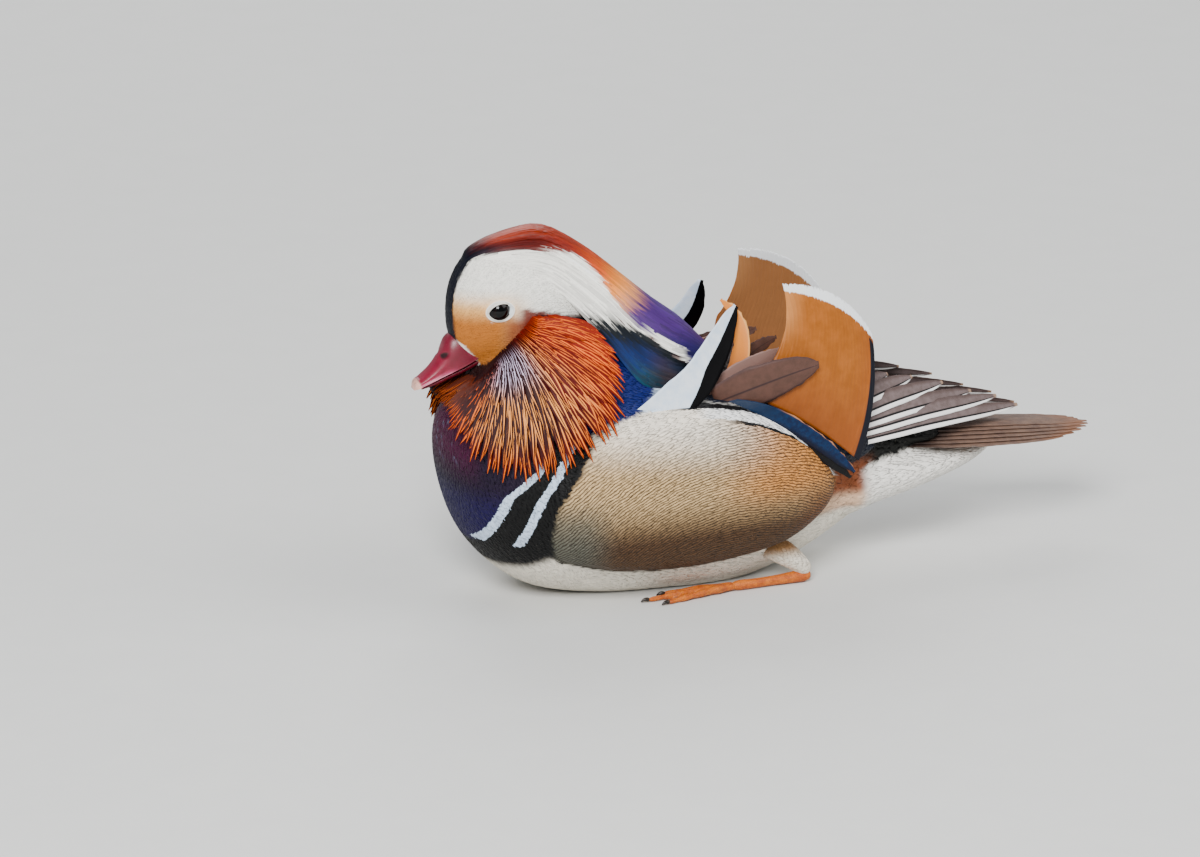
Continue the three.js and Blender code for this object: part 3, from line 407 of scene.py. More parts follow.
def body_colour(points):
    """The body's colours, how strong the flank's waves are, and where its lines run."""
    x, y, z = points.T
    side, count = abs(y), len(points)
    torso, head, neck, flank, undertail, wing, shoulder, rump = levels(points).values()
    breast = soft(-52, -60, x) * (z < 105)
    # Painted sheen: a flecked pattern of pale blue glints over the front of the breast.
    sheen_flecks = np.sin(x * 1.3 + 3 * np.sin(z * 0.37 + y)) * np.sin(z * 0.9 + 2 * np.sin(y * 0.6))
    chestnut = soft(58, 66, x) * soft(96, 86, x) * soft(30, 36, z) * soft(60, 54, z)
    on_neck = (neck < torso) & (neck < head + 0.02)
    on_shoulder = (shoulder < torso) & (shoulder < flank) & (shoulder < neck)
    over_white = z - on_line(x, SHOULDER_WHITE)
    colour = painted(
        "33251e", count,
        ("1f0d2b", breast),
        ("4a1238", breast * soft(60, 82, z) * soft(-104, -112, x)),
        ("1d1450", breast * soft(66, 50, z) * 0.7),
        ("9fb4cf", 0.35 * breast * soft(0.86, 0.95, sheen_flecks) * soft(-111, -113.5, x) * soft(66, 76, z)),
        ("030304", soft(-0.6, 0.6, beyond_bar(points, 0)) * (x < -40) * (z < 95)),
        ("ece6da", soft(3, -3, z - on_line(x, BELLY_TOP)) * (flank > 1.04)),
        ("191a17", soft(62, 74, x) * (z > 52)),
        ("855238", chestnut),
        ("dcc0a8", chestnut * soft(44, 37, z)),
        ("f2efe9", (undertail < np.minimum(torso, rump) + 0.02) * soft(84, 92, x)),
        ("0a2463", on_neck * soft(-70, -58, x)),
        ("2c100f", on_neck * soft(-58, -70, x)),
        ("101a2c", (wing < torso) & (wing < flank)),
        ("0a2463", on_shoulder * soft(-1, 1, over_white)),
        ("d5e2ef", on_shoulder * soft(1, -1, over_white)),
    )
    panel = painted(
        "cfb48e", count,
        ("d49c66", soft(-5, 35, x) * soft(40, 60, z)),
        ("f4ecdf", soft(72, 100, z + 0.12 * (x + 80)) * soft(50, -10, x)),
        ("5c4632", soft(60, 34, z)),
        ("6a7068", 0.7 * soft(66, 46, z) * soft(-44, -64, x)),
        ("7a4a28", soft(40, 62, x) * soft(58, 44, z) * 0.6),
    )
    on_flank = (flank < np.minimum(np.minimum(torso, wing), shoulder) + 0.01) & (x > on_line(z, FLANK_FRONT))
    waves = on_flank * (1 - 0.6 * soft(64, 90, z) * soft(20, -10, x))
    nearest = np.minimum(abs(beyond_bar(points, 0)), abs(beyond_bar(points, 1)))
    bars = np.maximum(0, BAR_HALF + 1 - nearest) * (side > 12) * (z > 34) * (z < 88) * (x < -50) * ~on_flank
    lines = np.stack([flank_rim(points), on_flank.astype(float), bars], 1)
    return np.where(on_flank[:, None], panel, colour), waves, lines


def set_attribute(mesh, name, kind, values, domain="POINT"):
    """Writes a named attribute, one row of values a point."""
    layer = mesh.attributes.new(name, kind, domain)
    values = np.asarray(values, np.float32)
    if kind == "FLOAT_COLOR":
        values = np.concatenate([values, np.ones((len(values), 1), np.float32)], 1)
    label = {"FLOAT_COLOR": "color", "FLOAT_VECTOR": "vector"}.get(kind, "value")
    layer.data.foreach_set(label, values.ravel())


def set_markings(mesh, tint, waves=None, lines=None):
    """Writes what the plumage's finish reads: each point's colour, and the flank's waves and lines."""
    set_attribute(mesh, "tint", "FLOAT_COLOR", tint)
    set_attribute(mesh, "waves", "FLOAT", np.zeros(len(tint)) if waves is None else waves)
    if lines is not None:
        set_attribute(mesh, "lines", "FLOAT_VECTOR", lines)


tint, waves, lines = body_colour(skin_points)
on_head = level(HEAD, skin_points) < np.minimum(level(NECK, skin_points), level(TORSO, skin_points))
tint[on_head] = head_colour(skin_points[on_head])
set_markings(skin_mesh, tint, waves, lines)


# Finishes and shapes are node trees. A wrapped socket takes part in sums, so a formula reads as one line.
class Nodes:
    """A tree, and what makes its nodes."""

    def __init__(self, tree):
        self.tree = tree

    def node(self, kind, out=0, settings=None, **sockets):
        """A node with its settings made first. Sockets go by their names, or as i0, i1 and so on by place."""
        node = self.tree.nodes.new(kind)
        for key, value in (settings or {}).items():
            setattr(node, key, value)
        for key, value in sockets.items():
            place = int(key[1:]) if key[0] == "i" and key[1:].isdigit() else key.replace("_", " ")
            self.link(value, node.inputs[place])
        return Term(self, node.outputs[out])

    def link(self, value, socket):
        if isinstance(value, Term):
            self.tree.links.new(value.socket, socket)
        else:
            socket.default_value = (*value, 1) if isinstance(value, np.ndarray) else value

    def vector(self, operation, a, b=(0, 0, 0), out=0):
        return self.node("ShaderNodeVectorMath", out, {"operation": operation}, i0=a, i1=b)

    def scaled(self, vector, by):
        return self.node("ShaderNodeVectorMath", 0, {"operation": "SCALE"}, i0=vector, Scale=by)


class Term:
    """A socket that adds, subtracts and multiplies."""

    def __init__(self, nodes, socket):
        self.nodes, self.socket = nodes, socket

    def beside(self, out):
        """Another output of the same node."""
        return Term(self.nodes, self.socket.node.outputs[out])

    def math(self, operation, a, b=0.0):
        return self.nodes.node("ShaderNodeMath", 0, {"operation": operation}, i0=a, i1=b)

    def __add__(self, other):
        return self.math("ADD", self, other)

    __radd__ = __add__

    def __sub__(self, other):
        return self.math("SUBTRACT", self, other)

    def __rsub__(self, other):
        return self.math("SUBTRACT", other, self)

    def __mul__(self, other):
        return self.math("MULTIPLY", self, other)

    __rmul__ = __mul__

    def __abs__(self):
        return self.math("ABSOLUTE", self)

    def sine(self):
        return self.math("SINE", self)

    def step(self, low, high):
        """0 below low and 1 above high, smooth between, also where low is the higher one."""
        if low > high:
            return 1 - self.step(high, low)
        smooth = {"interpolation_type": "SMOOTHSTEP"}
        return self.nodes.node("ShaderNodeMapRange", 0, smooth, Value=self, From_Min=low, From_Max=high)


class Shade(Nodes):
    """A material's tree, made with what is the same all over the piece."""

    def __init__(self, name, **constants):
        self.material = bpy.data.materials.new(name)
        self.material.use_nodes = True
        super().__init__(self.material.node_tree)
        self.shader = self.tree.nodes["Principled BSDF"]
        for socket, value in constants.items():
            self.shader.inputs[socket.replace("_", " ")].default_value = value

    def attribute(self, name, out="Fac"):
        return self.node("ShaderNodeAttribute", out, {"attribute_name": name, "attribute_type": "GEOMETRY"})

    def place(self):
        return self.node("ShaderNodeTexCoord", "Object")

    def split(self, vector):
        first = self.node("ShaderNodeSeparateXYZ", i0=vector)
        return first, first.beside(1), first.beside(2)

    def vane(self):
        """The two places of a point on its feather: across, and along."""
        return self.split(self.node("ShaderNodeUVMap", 0, {"uv_map": "vane"}))[:2]

    def layered(self, ground, *layers):
        """A ground with paints laid over it, each where its mask is 1."""
        for code, mask in layers:
            ground, colour = (paint(c) if isinstance(c, str) else c for c in (ground, code))
            ground = self.node("ShaderNodeMix", 2, {"data_type": "RGBA"}, i0=mask, i6=ground, i7=colour)
        return ground

    def noise(self, scale, detail=3.0, vector=None):
        place = vector or self.place()
        return self.node("ShaderNodeTexNoise", Vector=place, Scale=scale, Detail=detail, Roughness=0.6)

    def bump(self, height, strength, distance):
        bump = self.node("ShaderNodeBump", Height=height, Strength=strength, Distance=distance)
        self.link(bump, self.shader.inputs["Normal"])

    def barbs(self, across, along, count=1100, slant=0.12, strength=0.3):
        """Fine ridges that leave a feather's shaft aslant towards the tip."""
        lines = ((along - abs(across - 0.5) * slant * 2) * count).sine()
        self.bump(lines * 0.5 + self.noise(600, detail=2) * 0.6, strength, 0.00025)
        return lines

    def finish(self, ground, *layers):
        self.link(self.layered(ground, *layers), self.shader.inputs["Base Color"])
        return self.material


# The flank's waves follow wide rings round a point below the belly.
WAVE_CENTRE = (0.02, 0.0, -0.03)
WAVE_STEP = 0.0013


def plumage_finish():
    """Small feathers: the markings, a fine mottle, and the dark waves of the flank."""
    shade = Shade("plumage", Roughness=0.6, Specular_IOR_Level=0.25)
    flat = shade.vector("MULTIPLY", shade.vector("SUBTRACT", shade.place(), WAVE_CENTRE), (1, 0.12, 1))
    reach = shade.vector("LENGTH", flat, out=1)
    wobble = shade.noise(110, detail=2) * 0.0026 + shade.noise(600, detail=1) * 0.0007
    stripe = ((reach + wobble) * (2 * math.pi / WAVE_STEP)).sine()
    rim, panel, bar = shade.split(shade.attribute("lines", "Vector"))
    back = shade.split(shade.place())[0]
    rim = rim + (shade.noise(500, detail=2) - 0.5) * 0.03
    mottle = shade.noise(420, detail=4)
    shade.bump(shade.noise(900, detail=3), 0.25, 0.0004)
    return shade.finish(
        shade.attribute("tint", "Color"),
        ("2c1c10", stripe.step(-0.2, 0.7) * shade.attribute("waves") * rim.step(0.84, 0.78) * 0.8),
        ("0c0d12", panel * rim.step(0.81, 0.82) * back.step(0.0, 0.02)),
        ("f4f4f2", panel * rim.step(0.845, 0.855) * back.step(-0.008, 0.004)),
        ("07080c", panel * rim.step(0.94, 0.95) * back.step(-0.02, -0.008)),
        ("cfdcec", (bar + (shade.noise(900, detail=2) - 0.5) * 0.5).step(0.85, 1.15)),
        ("000000", (1 - mottle.step(0.25, 0.6)) * 0.18),
    )


plumage_material = plumage_finish()
skin_mesh.materials.append(plumage_material)
fasten(skin, "body_feathers", "torso", "head", "neck", "flank_left", "flank_right", "undertail")


# Wings: folded along the back. Each flight feather is a thin stiff vane on a shaft, rooted in the flesh.
# The six outer ones of each wing close over the rump, with white outer edges.
FEATHER_STEPS = 26
FEATHER_COLUMNS = 12


def unit(vectors):
    return vectors / np.maximum(np.linalg.norm(vectors, axis=-1, keepdims=True), 1e-9)


def path_frames(path, shares, across):
    """Points along a smooth path, with a side near the one asked for, and the way out."""
    path = np.asarray(path, float)
    steps = np.sqrt(np.linalg.norm(np.diff(path, axis=0), axis=1))
    places = np.concatenate([[0], np.cumsum(steps)]) / steps.sum()
    points = through(path, np.interp(np.linspace(0, 1, 400), places, np.linspace(0, 1, len(path))))
    lengths = np.concatenate([[0], np.cumsum(np.linalg.norm(np.diff(points, axis=0), axis=1))])

    def at(share):
        return np.stack([np.interp(share, lengths / lengths[-1], points[:, k]) for k in range(3)], 1)

    nudge = 0.01
    along = unit(at(np.minimum(shares + nudge, 1)) - at(np.maximum(shares - nudge, 0)))
    across = np.asarray(across, float)
    side = unit(across - (along @ across)[:, None] * along)
    return at(shares), side, np.cross(along, side)


def grid_uv(first, second):
    """The places of a grid's points on its map, from the places of its rows and columns."""
    return np.stack(np.broadcast_arrays(first, second), -1)


def sheet_of(grid, thick, uv):
    """A thin solid over a grid of points, with both faces and a rim, and each point's place on its map."""
    rows, columns = grid.shape[:2]
    normal = unit(np.cross(np.gradient(grid, axis=0), np.gradient(grid, axis=1)))
    half = 0.5 * np.broadcast_to(thick, (rows, columns))[..., None]
    points = np.concatenate([(grid + normal * half).reshape(-1, 3), (grid - normal * half).reshape(-1, 3)])
    under = rows * columns
    index = np.arange(under).reshape(rows, columns)
    a, b, c, d = index[:-1, :-1], index[1:, :-1], index[1:, 1:], index[:-1, 1:]
    top = np.stack([a, b, c, d], -1).reshape(-1, 4)
    bottom = np.stack([a, d, c, b], -1).reshape(-1, 4) + under
    loop = np.concatenate([index[0, :-1], index[:-1, -1], index[-1, :0:-1], index[:0:-1, 0]])
    following = np.roll(loop, -1)
    rim = np.stack([loop, following, following + under, loop + under], -1)
    return points, [tuple(f) for f in np.concatenate([top, bottom, rim])], np.tile(uv.reshape(-1, 2), (2, 1))


def feather(path, across, half, thick=0.5, tip=4.0, camber=0.06, shaft_at=0.0, seed=0, ragged=0.25):
    """A vane along a path: its shaft stands proud, its edge is rounded to the tip and slightly uneven."""
    random = np.random.default_rng(seed)
    shares = 1 - (1 - np.linspace(0, 1, FEATHER_STEPS)) ** 1.25
    at, side, out = path_frames(path, shares, across)
    root = 0.7  # the width there, as a share of the full width
    taper = np.maximum(0.05, (1 - shares ** tip)) ** 0.6
    width = half * (root + (1 - root) * np.minimum(1, shares * 3)) * taper
    place = np.linspace(-1, 1, FEATHER_COLUMNS)
    place = np.sign(place) * abs(place) ** 0.9
    grid = at[:, None] + side[:, None] * (width[:, None] * place)[..., None]
    uneven = ragged * random.normal(0, 1, (FEATHER_STEPS, 2)) * soft(0.15, 0.5, shares)[:, None]
    grid[:, 0] -= side * uneven[:, :1]
    grid[:, -1] += side * uneven[:, 1:]
    grid -= out[:, None] * (camber * width[:, None] * place ** 2)[..., None]
    shaft = np.exp(-((place - shaft_at) / 0.09) ** 2)
    body = thick * (0.7 - 0.35 * abs(place)) * (1 - 0.45 * shares[:, None] ** 3)
    thick = body + 0.35 * shaft * (1 - 0.8 * shares[:, None])
    return sheet_of(grid, thick, grid_uv((place + 1) / 2, shares[:, None]))


def add_uv(mesh, name, uvs):
    """A UV map from one place for each point of the mesh."""
    corners = np.zeros(len(mesh.loops), np.int32)
    mesh.loops.foreach_get("vertex_index", corners)
    layer = mesh.uv_layers.new(name=name)
    layer.uv.foreach_set("vector", np.asarray(uvs, np.float32)[corners].ravel())


def feathers_piece(name, parts, material, slot, *replaced, side=1):
    """One piece from many vanes. Each has its own patch of the bake map, and carries a number of its own."""
    rows = math.ceil(math.sqrt(len(parts)))
    bake = [(0.03 + 0.94 * uv + [n % rows, n // rows]) / rows for n, (_, _, uv) in enumerate(parts)]
    mesh = mesh_of(name, *join([on_side(part[:2], side) for part in parts]))
    add_uv(mesh, "vane", np.concatenate([uv for _, _, uv in parts]))
    add_uv(mesh, "OFBake", np.concatenate(bake))
    set_attribute(mesh, "order", "FLOAT", np.repeat(np.arange(len(parts)), [len(part[0]) for part in parts]))
    inner = np.concatenate([np.repeat([1, 0], len(part[0]) // 2) for part in parts])
    set_attribute(mesh, "inner", "FLOAT", inner)
    fasten(piece(name, mesh, material), slot, *replaced)


PRIMARIES = [
    [(82, -35.5, 65), (177, -3, 65)],
    [(80, -35, 68.5), (165.5, -4, 71)],
    [(78, -34, 71.5), (151.5, -6, 75.5)],
    [(76, -33, 75), (136, -8, 82)], [(74, -32, 78.5), (119.5, -9.5, 87)], [(72, -31, 82), (106, -12, 90.5)],
]
PRIMARY_HALF = 4.9
PRIMARY_ACROSS = np.array([0, 0.6, 0.8])
PRIMARY_BOW = np.array([0, -3, 1.5])
SECONDARY = np.array([
    (6, -39, 95.5), (26, -45.5, 92), (44, -46.5, 83), (61, -46, 70.5), (77, -44.5, 55.5),
], float)
SECONDARY_HALF = 4.6
SECONDARY_STEP = np.array([-1.6, 1.2, -3])
TERTIAL_DROP = (14, 11, 4)  # the right wing's tertials lie lower by so much
TERTIALS = [
    ([(8, -40, 96), (26, -45.5, 103.5), (43, -46.5, 108.5), (58.5, -44, 111)], 11.5),
    ([(6, -36, 97), (20, -34, 106), (33, -33.5, 112), (43, -33, 117)], 6.5),
    ([(14, -27, 96), (26, -22, 107), (37, -17, 113), (48, -14, 117)], 5.5),
]


def primary(number):
    way, tip = (np.array(p, float) for p in PRIMARIES[number])
    root = way + (way - tip) * 0.15
    middle = way + (tip - way) * 0.45 + PRIMARY_BOW
    path = [p + PRIMARY_ACROSS * 0.85 * PRIMARY_HALF for p in (root, way, middle)]
    path += [tip + PRIMARY_ACROSS * 1.5]
    return feather(path, PRIMARY_ACROSS, PRIMARY_HALF, shaft_at=-0.35, seed=number, ragged=0.06)


def secondary(step):
    path = SECONDARY + step * SECONDARY_STEP
    return feather(path, (0.45, -0.1, 0.85), SECONDARY_HALF, seed=20 + step, shaft_at=-0.2)


def primary_finish():
    shade = Shade("flight_feathers", Roughness=0.5, Specular_IOR_Level=0.3)
    across, along = shade.vane()
    lines = shade.barbs(across, along)
    return shade.finish(
        "7f7271",
        ("6b5e5c", shade.noise(300, detail=4).step(0.3, 0.7)),
        ("8d827f", lines.step(0.2, 1) * 0.25),
        ("4c3a34", across.step(0.62, 0.95) * 0.6),
        ("050507", across.step(0.225, 0.25) * across.step(0.36, 0.31)),
        ("f6f4f2", across.step(0.235, 0.21) * along.step(0.985, 0.93)),
        ("d8b9a0", along.step(0.975, 1) * 0.7),
    )


def speculum_finish():
    """The blue speculum feather, with a pale edge above, and the black one under it."""
    shade = Shade("speculum", Roughness=0.4, Specular_IOR_Level=0.25)
    across, along = shade.vane()
    shade.barbs(across, along, count=900)
    return shade.finish(
        "041e40",
        ("073558", shade.noise(500).step(0.3, 0.7)),
        ("04122c", across.step(0.45, 0.15)),
        ("0a2a44", along.step(0.5, 0.25) * 0.8),
        ("d09a70", across.step(0.93, 0.96) * along.step(0.35, 0.5) * 0.7),
        ("05060a", shade.attribute("order").step(0.4, 0.6)),
    )


def tertial_finish():
    """Brown, darker at the shaft and the edges, and the second one, which is thin, paler."""
    shade = Shade("tertials", Roughness=0.5, Specular_IOR_Level=0.3)
    across, along = shade.vane()
    lines = shade.barbs(across, along, count=650, slant=0.2)
    order = shade.attribute("order")
    return shade.finish(
        "664b42",
        ("594239", shade.noise(260, detail=4).step(0.3, 0.7)),
        ("8a7472", lines.step(0.2, 1) * 0.12),
        ("33262a", abs(across - 0.5).step(0.035, 0.012) * 0.8),
        ("3f3136", abs(across - 0.5).step(0.36, 0.5) * 0.5),
        ("a88c84", order.step(0.5, 0.9) * order.step(1.6, 1.2) * 0.65),
    )


SIDES = ((1, "left"), (-1, "right"))
flight_material = primary_finish()
speculum_material = speculum_finish()
tertial_material = tertial_finish()
primaries = [primary(number) for number in range(6)]
secondaries = [secondary(0), secondary(1)]
for side, word in SIDES:
    tertials = []
    for number, (path, half) in enumerate(TERTIALS):
        lower = np.array([0, 0, -TERTIAL_DROP[number] * (side < 0)])
        seed = 30 + number
        tertials.append(feather(path + lower, (-0.3, -0.15, 0.94), half, tip=3.0, camber=0.08, seed=seed))
    wing = f"wing_{word}"
    feathers_piece(f"primaries_{word}", primaries, flight_material, "wing_feathers", wing, side=side)
    feathers_piece(f"speculum_{word}", secondaries, speculum_material, "blue_feathers", side=side)
    feathers_piece(f"tertials_{word}", tertials, tertial_material, "wing_feathers", side=side)

# Sails: one great upright inner feather on each wing, an orange fan with a white frayed rim.
# Its narrow outer web is a blue-black strip down the rear edge, beside the shaft.
SAIL_FOOT = np.array([(17, 97), (80, 60)])  # x and z, at the front and at the rear
SAIL_TOP = np.array([(44.5, 149), (90, 120)])
SAIL_Y = (-41.5, -31)  # at the foot and at the rim
SAIL_FOOT_BOW = 5
SAIL_RIM_BOW = 7.5
SAIL_EDGE_BOW = (11.5, 4)  # of the front edge and of the rear edge
SAIL_ROWS = 90
SAIL_COLUMNS = 150


def sail_point(t, u):
    """A point of the left sail, at a share t from foot to rim and a share u from front edge to rear edge."""
    t, u = np.broadcast_arrays(np.asarray(t, float), np.asarray(u, float))
    hump = 4 * u * (1 - u)
    foot = SAIL_FOOT[0] + (SAIL_FOOT[1] - SAIL_FOOT[0]) * u[..., None]
    foot[..., 1] += SAIL_FOOT_BOW * hump
    rim = SAIL_TOP[0] + (SAIL_TOP[1] - SAIL_TOP[0]) * u[..., None]
    rim += hump[..., None] * SAIL_RIM_BOW * np.array([0.54, 0.84])
    arch = 4 * t * (1 - t)
    bow = (SAIL_EDGE_BOW[0] + (SAIL_EDGE_BOW[1] - SAIL_EDGE_BOW[0]) * np.sqrt(u)) * arch
    x, z = np.moveaxis(foot + (rim - foot) * t[..., None], -1, 0)
    y = SAIL_Y[0] + (SAIL_Y[1] - SAIL_Y[0]) * t - 1.5 * arch * (1 + np.sin(math.pi * u))
    return np.stack([x + 0.9 * bow, y, z - 0.35 * bow * (1 - u)], -1)


def sail_part(seed):
    """The sail's vane: finely combed along the rim, where its barbs end at uneven lengths."""
    random = np.random.default_rng(seed)
    t = np.linspace(0, 1, SAIL_ROWS)[:, None] ** 0.9
    u = np.linspace(0, 1, SAIL_COLUMNS)[None]
    comb = 0.985 + 0.012 * random.random(SAIL_COLUMNS) - 0.02 * (random.random(SAIL_COLUMNS) < 0.12)
    t, u = np.broadcast_arrays(t, u)
    grid = sail_point(t * (1 - (1 - comb) * soft(0.8, 1, t)), u)
    grid[..., 0] += 8 * (1 - u) ** 2 * soft(0.42, 0.12, t)
    ripple = 0.03 * np.sin(u * 210 + 26 * t) * soft(0.05, 0.3, t)
    grid[..., 1] += ripple - 0.5 * np.exp(-((u - 0.93) / 0.008) ** 2) * (1 - 0.6 * t)
    return sheet_of(grid, 1.1 - 0.65 * t, grid_uv(u, t))


def sail_finish():
    """Orange, with barbs in a fan, a white rim and a dark strip at the rear."""
    shade = Shade("sails", Roughness=0.42, Specular_IOR_Level=0.3)
    across, along = shade.vane()
    fan = (across * 150 + along * 36).sine()
    frayed = shade.noise(900, detail=2, vector=shade.vector("MULTIPLY", shade.place(), (1, 1, 0.25))) * 0.012
    inner_line = 0.955 - across * (1 - across) * 4 * 0.035
    shade.bump(fan * 0.5 + shade.noise(700, detail=2) * 0.5, 0.22, 0.0003)
    # Painted shade: darker toward the foot and the rear edge, and duller and browner on the inner face. Painted
    # highlight: lighter along the upper front edge.
    return shade.finish(
        "97602f",
        ("a66c3c", shade.noise(160, detail=4).step(0.3, 0.7)),
        ("834820", along.step(0.55, 0.0) * 0.6),
        ("d09a6a", across.step(0.22, 0.0) * along.step(0.45, 0.8) * 0.6),
        ("965a32", across.step(0.7, 0.95) * 0.5),
        ("8f4f24", fan.step(0.2, 1) * 0.1),
        ("94745a", shade.attribute("inner") * 0.6),
        ("eef0f1", (along + frayed - inner_line).step(-0.006, 0.006)),
        ("070b1c", (across + along * 0.035).step(0.952, 0.962) * along.step(0.93, 0.9)),
    )


sail_material = sail_finish()
for side, word in SIDES:
    vane = sail_part(40 + side)
    feathers_piece(f"sail_vane_{word}", [vane], sail_material, "orange_feathers", f"sail_{word}", side=side)

# Sickles: the small inner feather in front of each sail. The left one stands and hooks forward.
# Each is a soft curved vane, rooted in the wing between the scapulars and the sail.
SICKLE_HIGH = [
    (12, -34, 97), (18.5, -33, 104), (24, -29, 114), (25.8, -25, 124.4), (23.2, -21.5, 133.5),
    (17.8, -19, 140),
]
SICKLE_LOW = [(14, -31, 94), (20, -29.5, 98), (26, -28.5, 102), (31, -27.5, 105)]
SICKLE_HALF = 5.2


def sickle_finish():
    shade = Shade("sickles", Roughness=0.42, Specular_IOR_Level=0.3)
    across, along = shade.vane()
    lines = shade.barbs(across, along, count=560)
    # Painted shade: the root half is darker and browner.
    return shade.finish(
        "d88f4e",
        ("b2744a", along.step(0.55, 0.25)),
        ("f3bd80", lines.step(0.3, 1) * 0.2),
        ("f4c890", across.step(0.85, 0.97) * 0.6),
    )


sickle_material = sickle_finish()
for (side, word), path in zip(SIDES, (SICKLE_HIGH, SICKLE_LOW)):
    vane = feather(path, (0.9, 0, -0.25), SICKLE_HALF, tip=2.6, camber=0.12, seed=50)
    feathers_piece(
        f"sickle_vane_{word}", [vane], sickle_material, "orange_feathers", f"sickle_{word}", side=side,
    )

# Scapulars: the long pointed shoulder feathers, white in front and black behind the shaft.
# A shorter white one lies before each. They are rooted in the shoulder, and lean on the flank's top.
SCAPULAR_LEFT = [
    (-36, -43, 87), (-24, -46.5, 95.5), (-13, -46, 102.5), (-4, -43.5, 108), (3.5, -39.5, 114.9),
    (11.4, -34, 123.2), (18.3, -28, 131.1), (24, -23, 137.6),
]
SCAPULAR_RIGHT = [
    (-36, -42, 88), (-22, -46.5, 97), (-9, -46, 101.5), (5, -42, 105.5), (15, -37, 110.5), (20.5, -31, 121),
    (22.9, -23.5, 137),
]
SCAPULAR_SHORT = [(-51, -42, 78), (-40, -45.5, 86), (-29, -47.5, 92.5), (-18, -46.5, 99)]


def scapular_finish():
    shade = Shade("scapulars", Roughness=0.5, Specular_IOR_Level=0.1)
    across, along = shade.vane()
    shade.barbs(across, along, count=1000, slant=0.15, strength=0.2)
    line = across + (shade.noise(700, detail=2) - 0.5) * 0.03
    taper = 1 - along.step(0.22, 0.62) * 0.5
    foremost = shade.attribute("order").step(0.5, 0.2)
    return shade.finish(
        "e8eff6",
        ("d2e0ef", shade.noise(200).step(0.3, 0.75)),
        ("060508", (line - taper).step(0, 0.02) * along.step(0.2, 0.24) * foremost),
    )


scapular_material = scapular_finish()
for (side, word), path in zip(SIDES, (SCAPULAR_LEFT, SCAPULAR_RIGHT)):
    vanes = [
        feather(path, (0.55, -0.12, -0.83), 9.6, thick=0.7, tip=3.2, camber=0.1, seed=60, ragged=0.1),
        feather(SCAPULAR_SHORT, (0.4, -0.3, -0.86), 5, thick=0.7, tip=2.4, camber=0.1, seed=61, ragged=0.15),
    ]
    name = f"scapular_vanes_{word}"
    feathers_piece(name, vanes, scapular_material, "white_feathers", f"scapular_{word}", side=side)

# Tail: a fan of twelve brown feathers, the middle pair on top.
# They are stiff vanes on strong shafts, rooted in the rump.
TAIL_PAIRS = 6
TAIL_ROOT, TAIL_REACH, TAIL_LEVEL, TAIL_STEP = 104, 213, 61.3, 0.95
TAIL_SPREAD, TAIL_DROOP, TAIL_HALF = 3.1, 7, 6.8


def tail_feather(pair, side):
    right = 1 if side > 0 else 0
    height = TAIL_LEVEL - TAIL_STEP * (pair + 0.5 * right)
    outward = side * (2.6 + TAIL_SPREAD * pair)
    reach = TAIL_REACH - 0.75 * pair * pair - 2.5 * right
    path = [
        (TAIL_ROOT, 0.6 * outward, height), ((TAIL_ROOT + reach) / 2, outward, height - 1.6),
        (reach, 1.05 * outward, height - TAIL_DROOP + 0.75 * pair),
    ]
    return feather(path, (0, 1, 0), TAIL_HALF, thick=0.45, tip=5, seed=70 + pair * 2 + right)


def tail_finish():
    shade = Shade("tail_feathers", Roughness=0.55, Specular_IOR_Level=0.3)
    across, along = shade.vane()
    lines = shade.barbs(across, along, count=1200)
    # Painted shadow: the root half of each feather is dark, where the folded primaries lie over the tail.
    return shade.finish(
        "80695c",
        ("665249", shade.noise(240, detail=4).step(0.3, 0.7)),
        ("766963", lines.step(0.2, 1) * 0.25),
        ("241c1b", along.step(0.45, 0.15) * 0.8),
        ("9a6a4a", along.step(0.8, 1) * 0.55),
        ("2b2322", abs(across - 0.5).step(0.03, 0.01) * 0.7),
    )


tail_parts = [tail_feather(pair, side) for pair in range(TAIL_PAIRS) for side in (-1, 1)]
feathers_piece("tail_vanes", tail_parts, tail_finish(), "wing_feathers", "tail")


# Crest: long silky plumes that lie from the crown back over the nape, on a bed of shorter ones.
# They grow out of the crown in overlapping rows, each a narrow keeled lock that ends in a point.
CREST = [
    [-106, 0, 163, 0, 0, 0], [-101, 0, 163, 8.5, 8, 7], [-85, 0, 163, 14.5, 13, 13],
    [-65, 0, 156, 23, 19, 19], [-45, 0, 136, 31.5, 26, 29], [-27, 0, 113, 39.5, 24, 36],
    [-11, 0, 104, 34.5, 16, 36.5], [2, 0, 101, 27.5, 12, 31], [15, 0, 100, 15.5, 8, 21],
    [26, 0, 103, 0, 0, 0],
]
PLUMES = 1700  # on each side
PLUME_POINTS = 11
PLUME_HALF = (0.5, 1.05)
CREST_SPAN = 98  # degrees from the ridge where the lowest plumes lie
BAKE_PATCH = 0.003


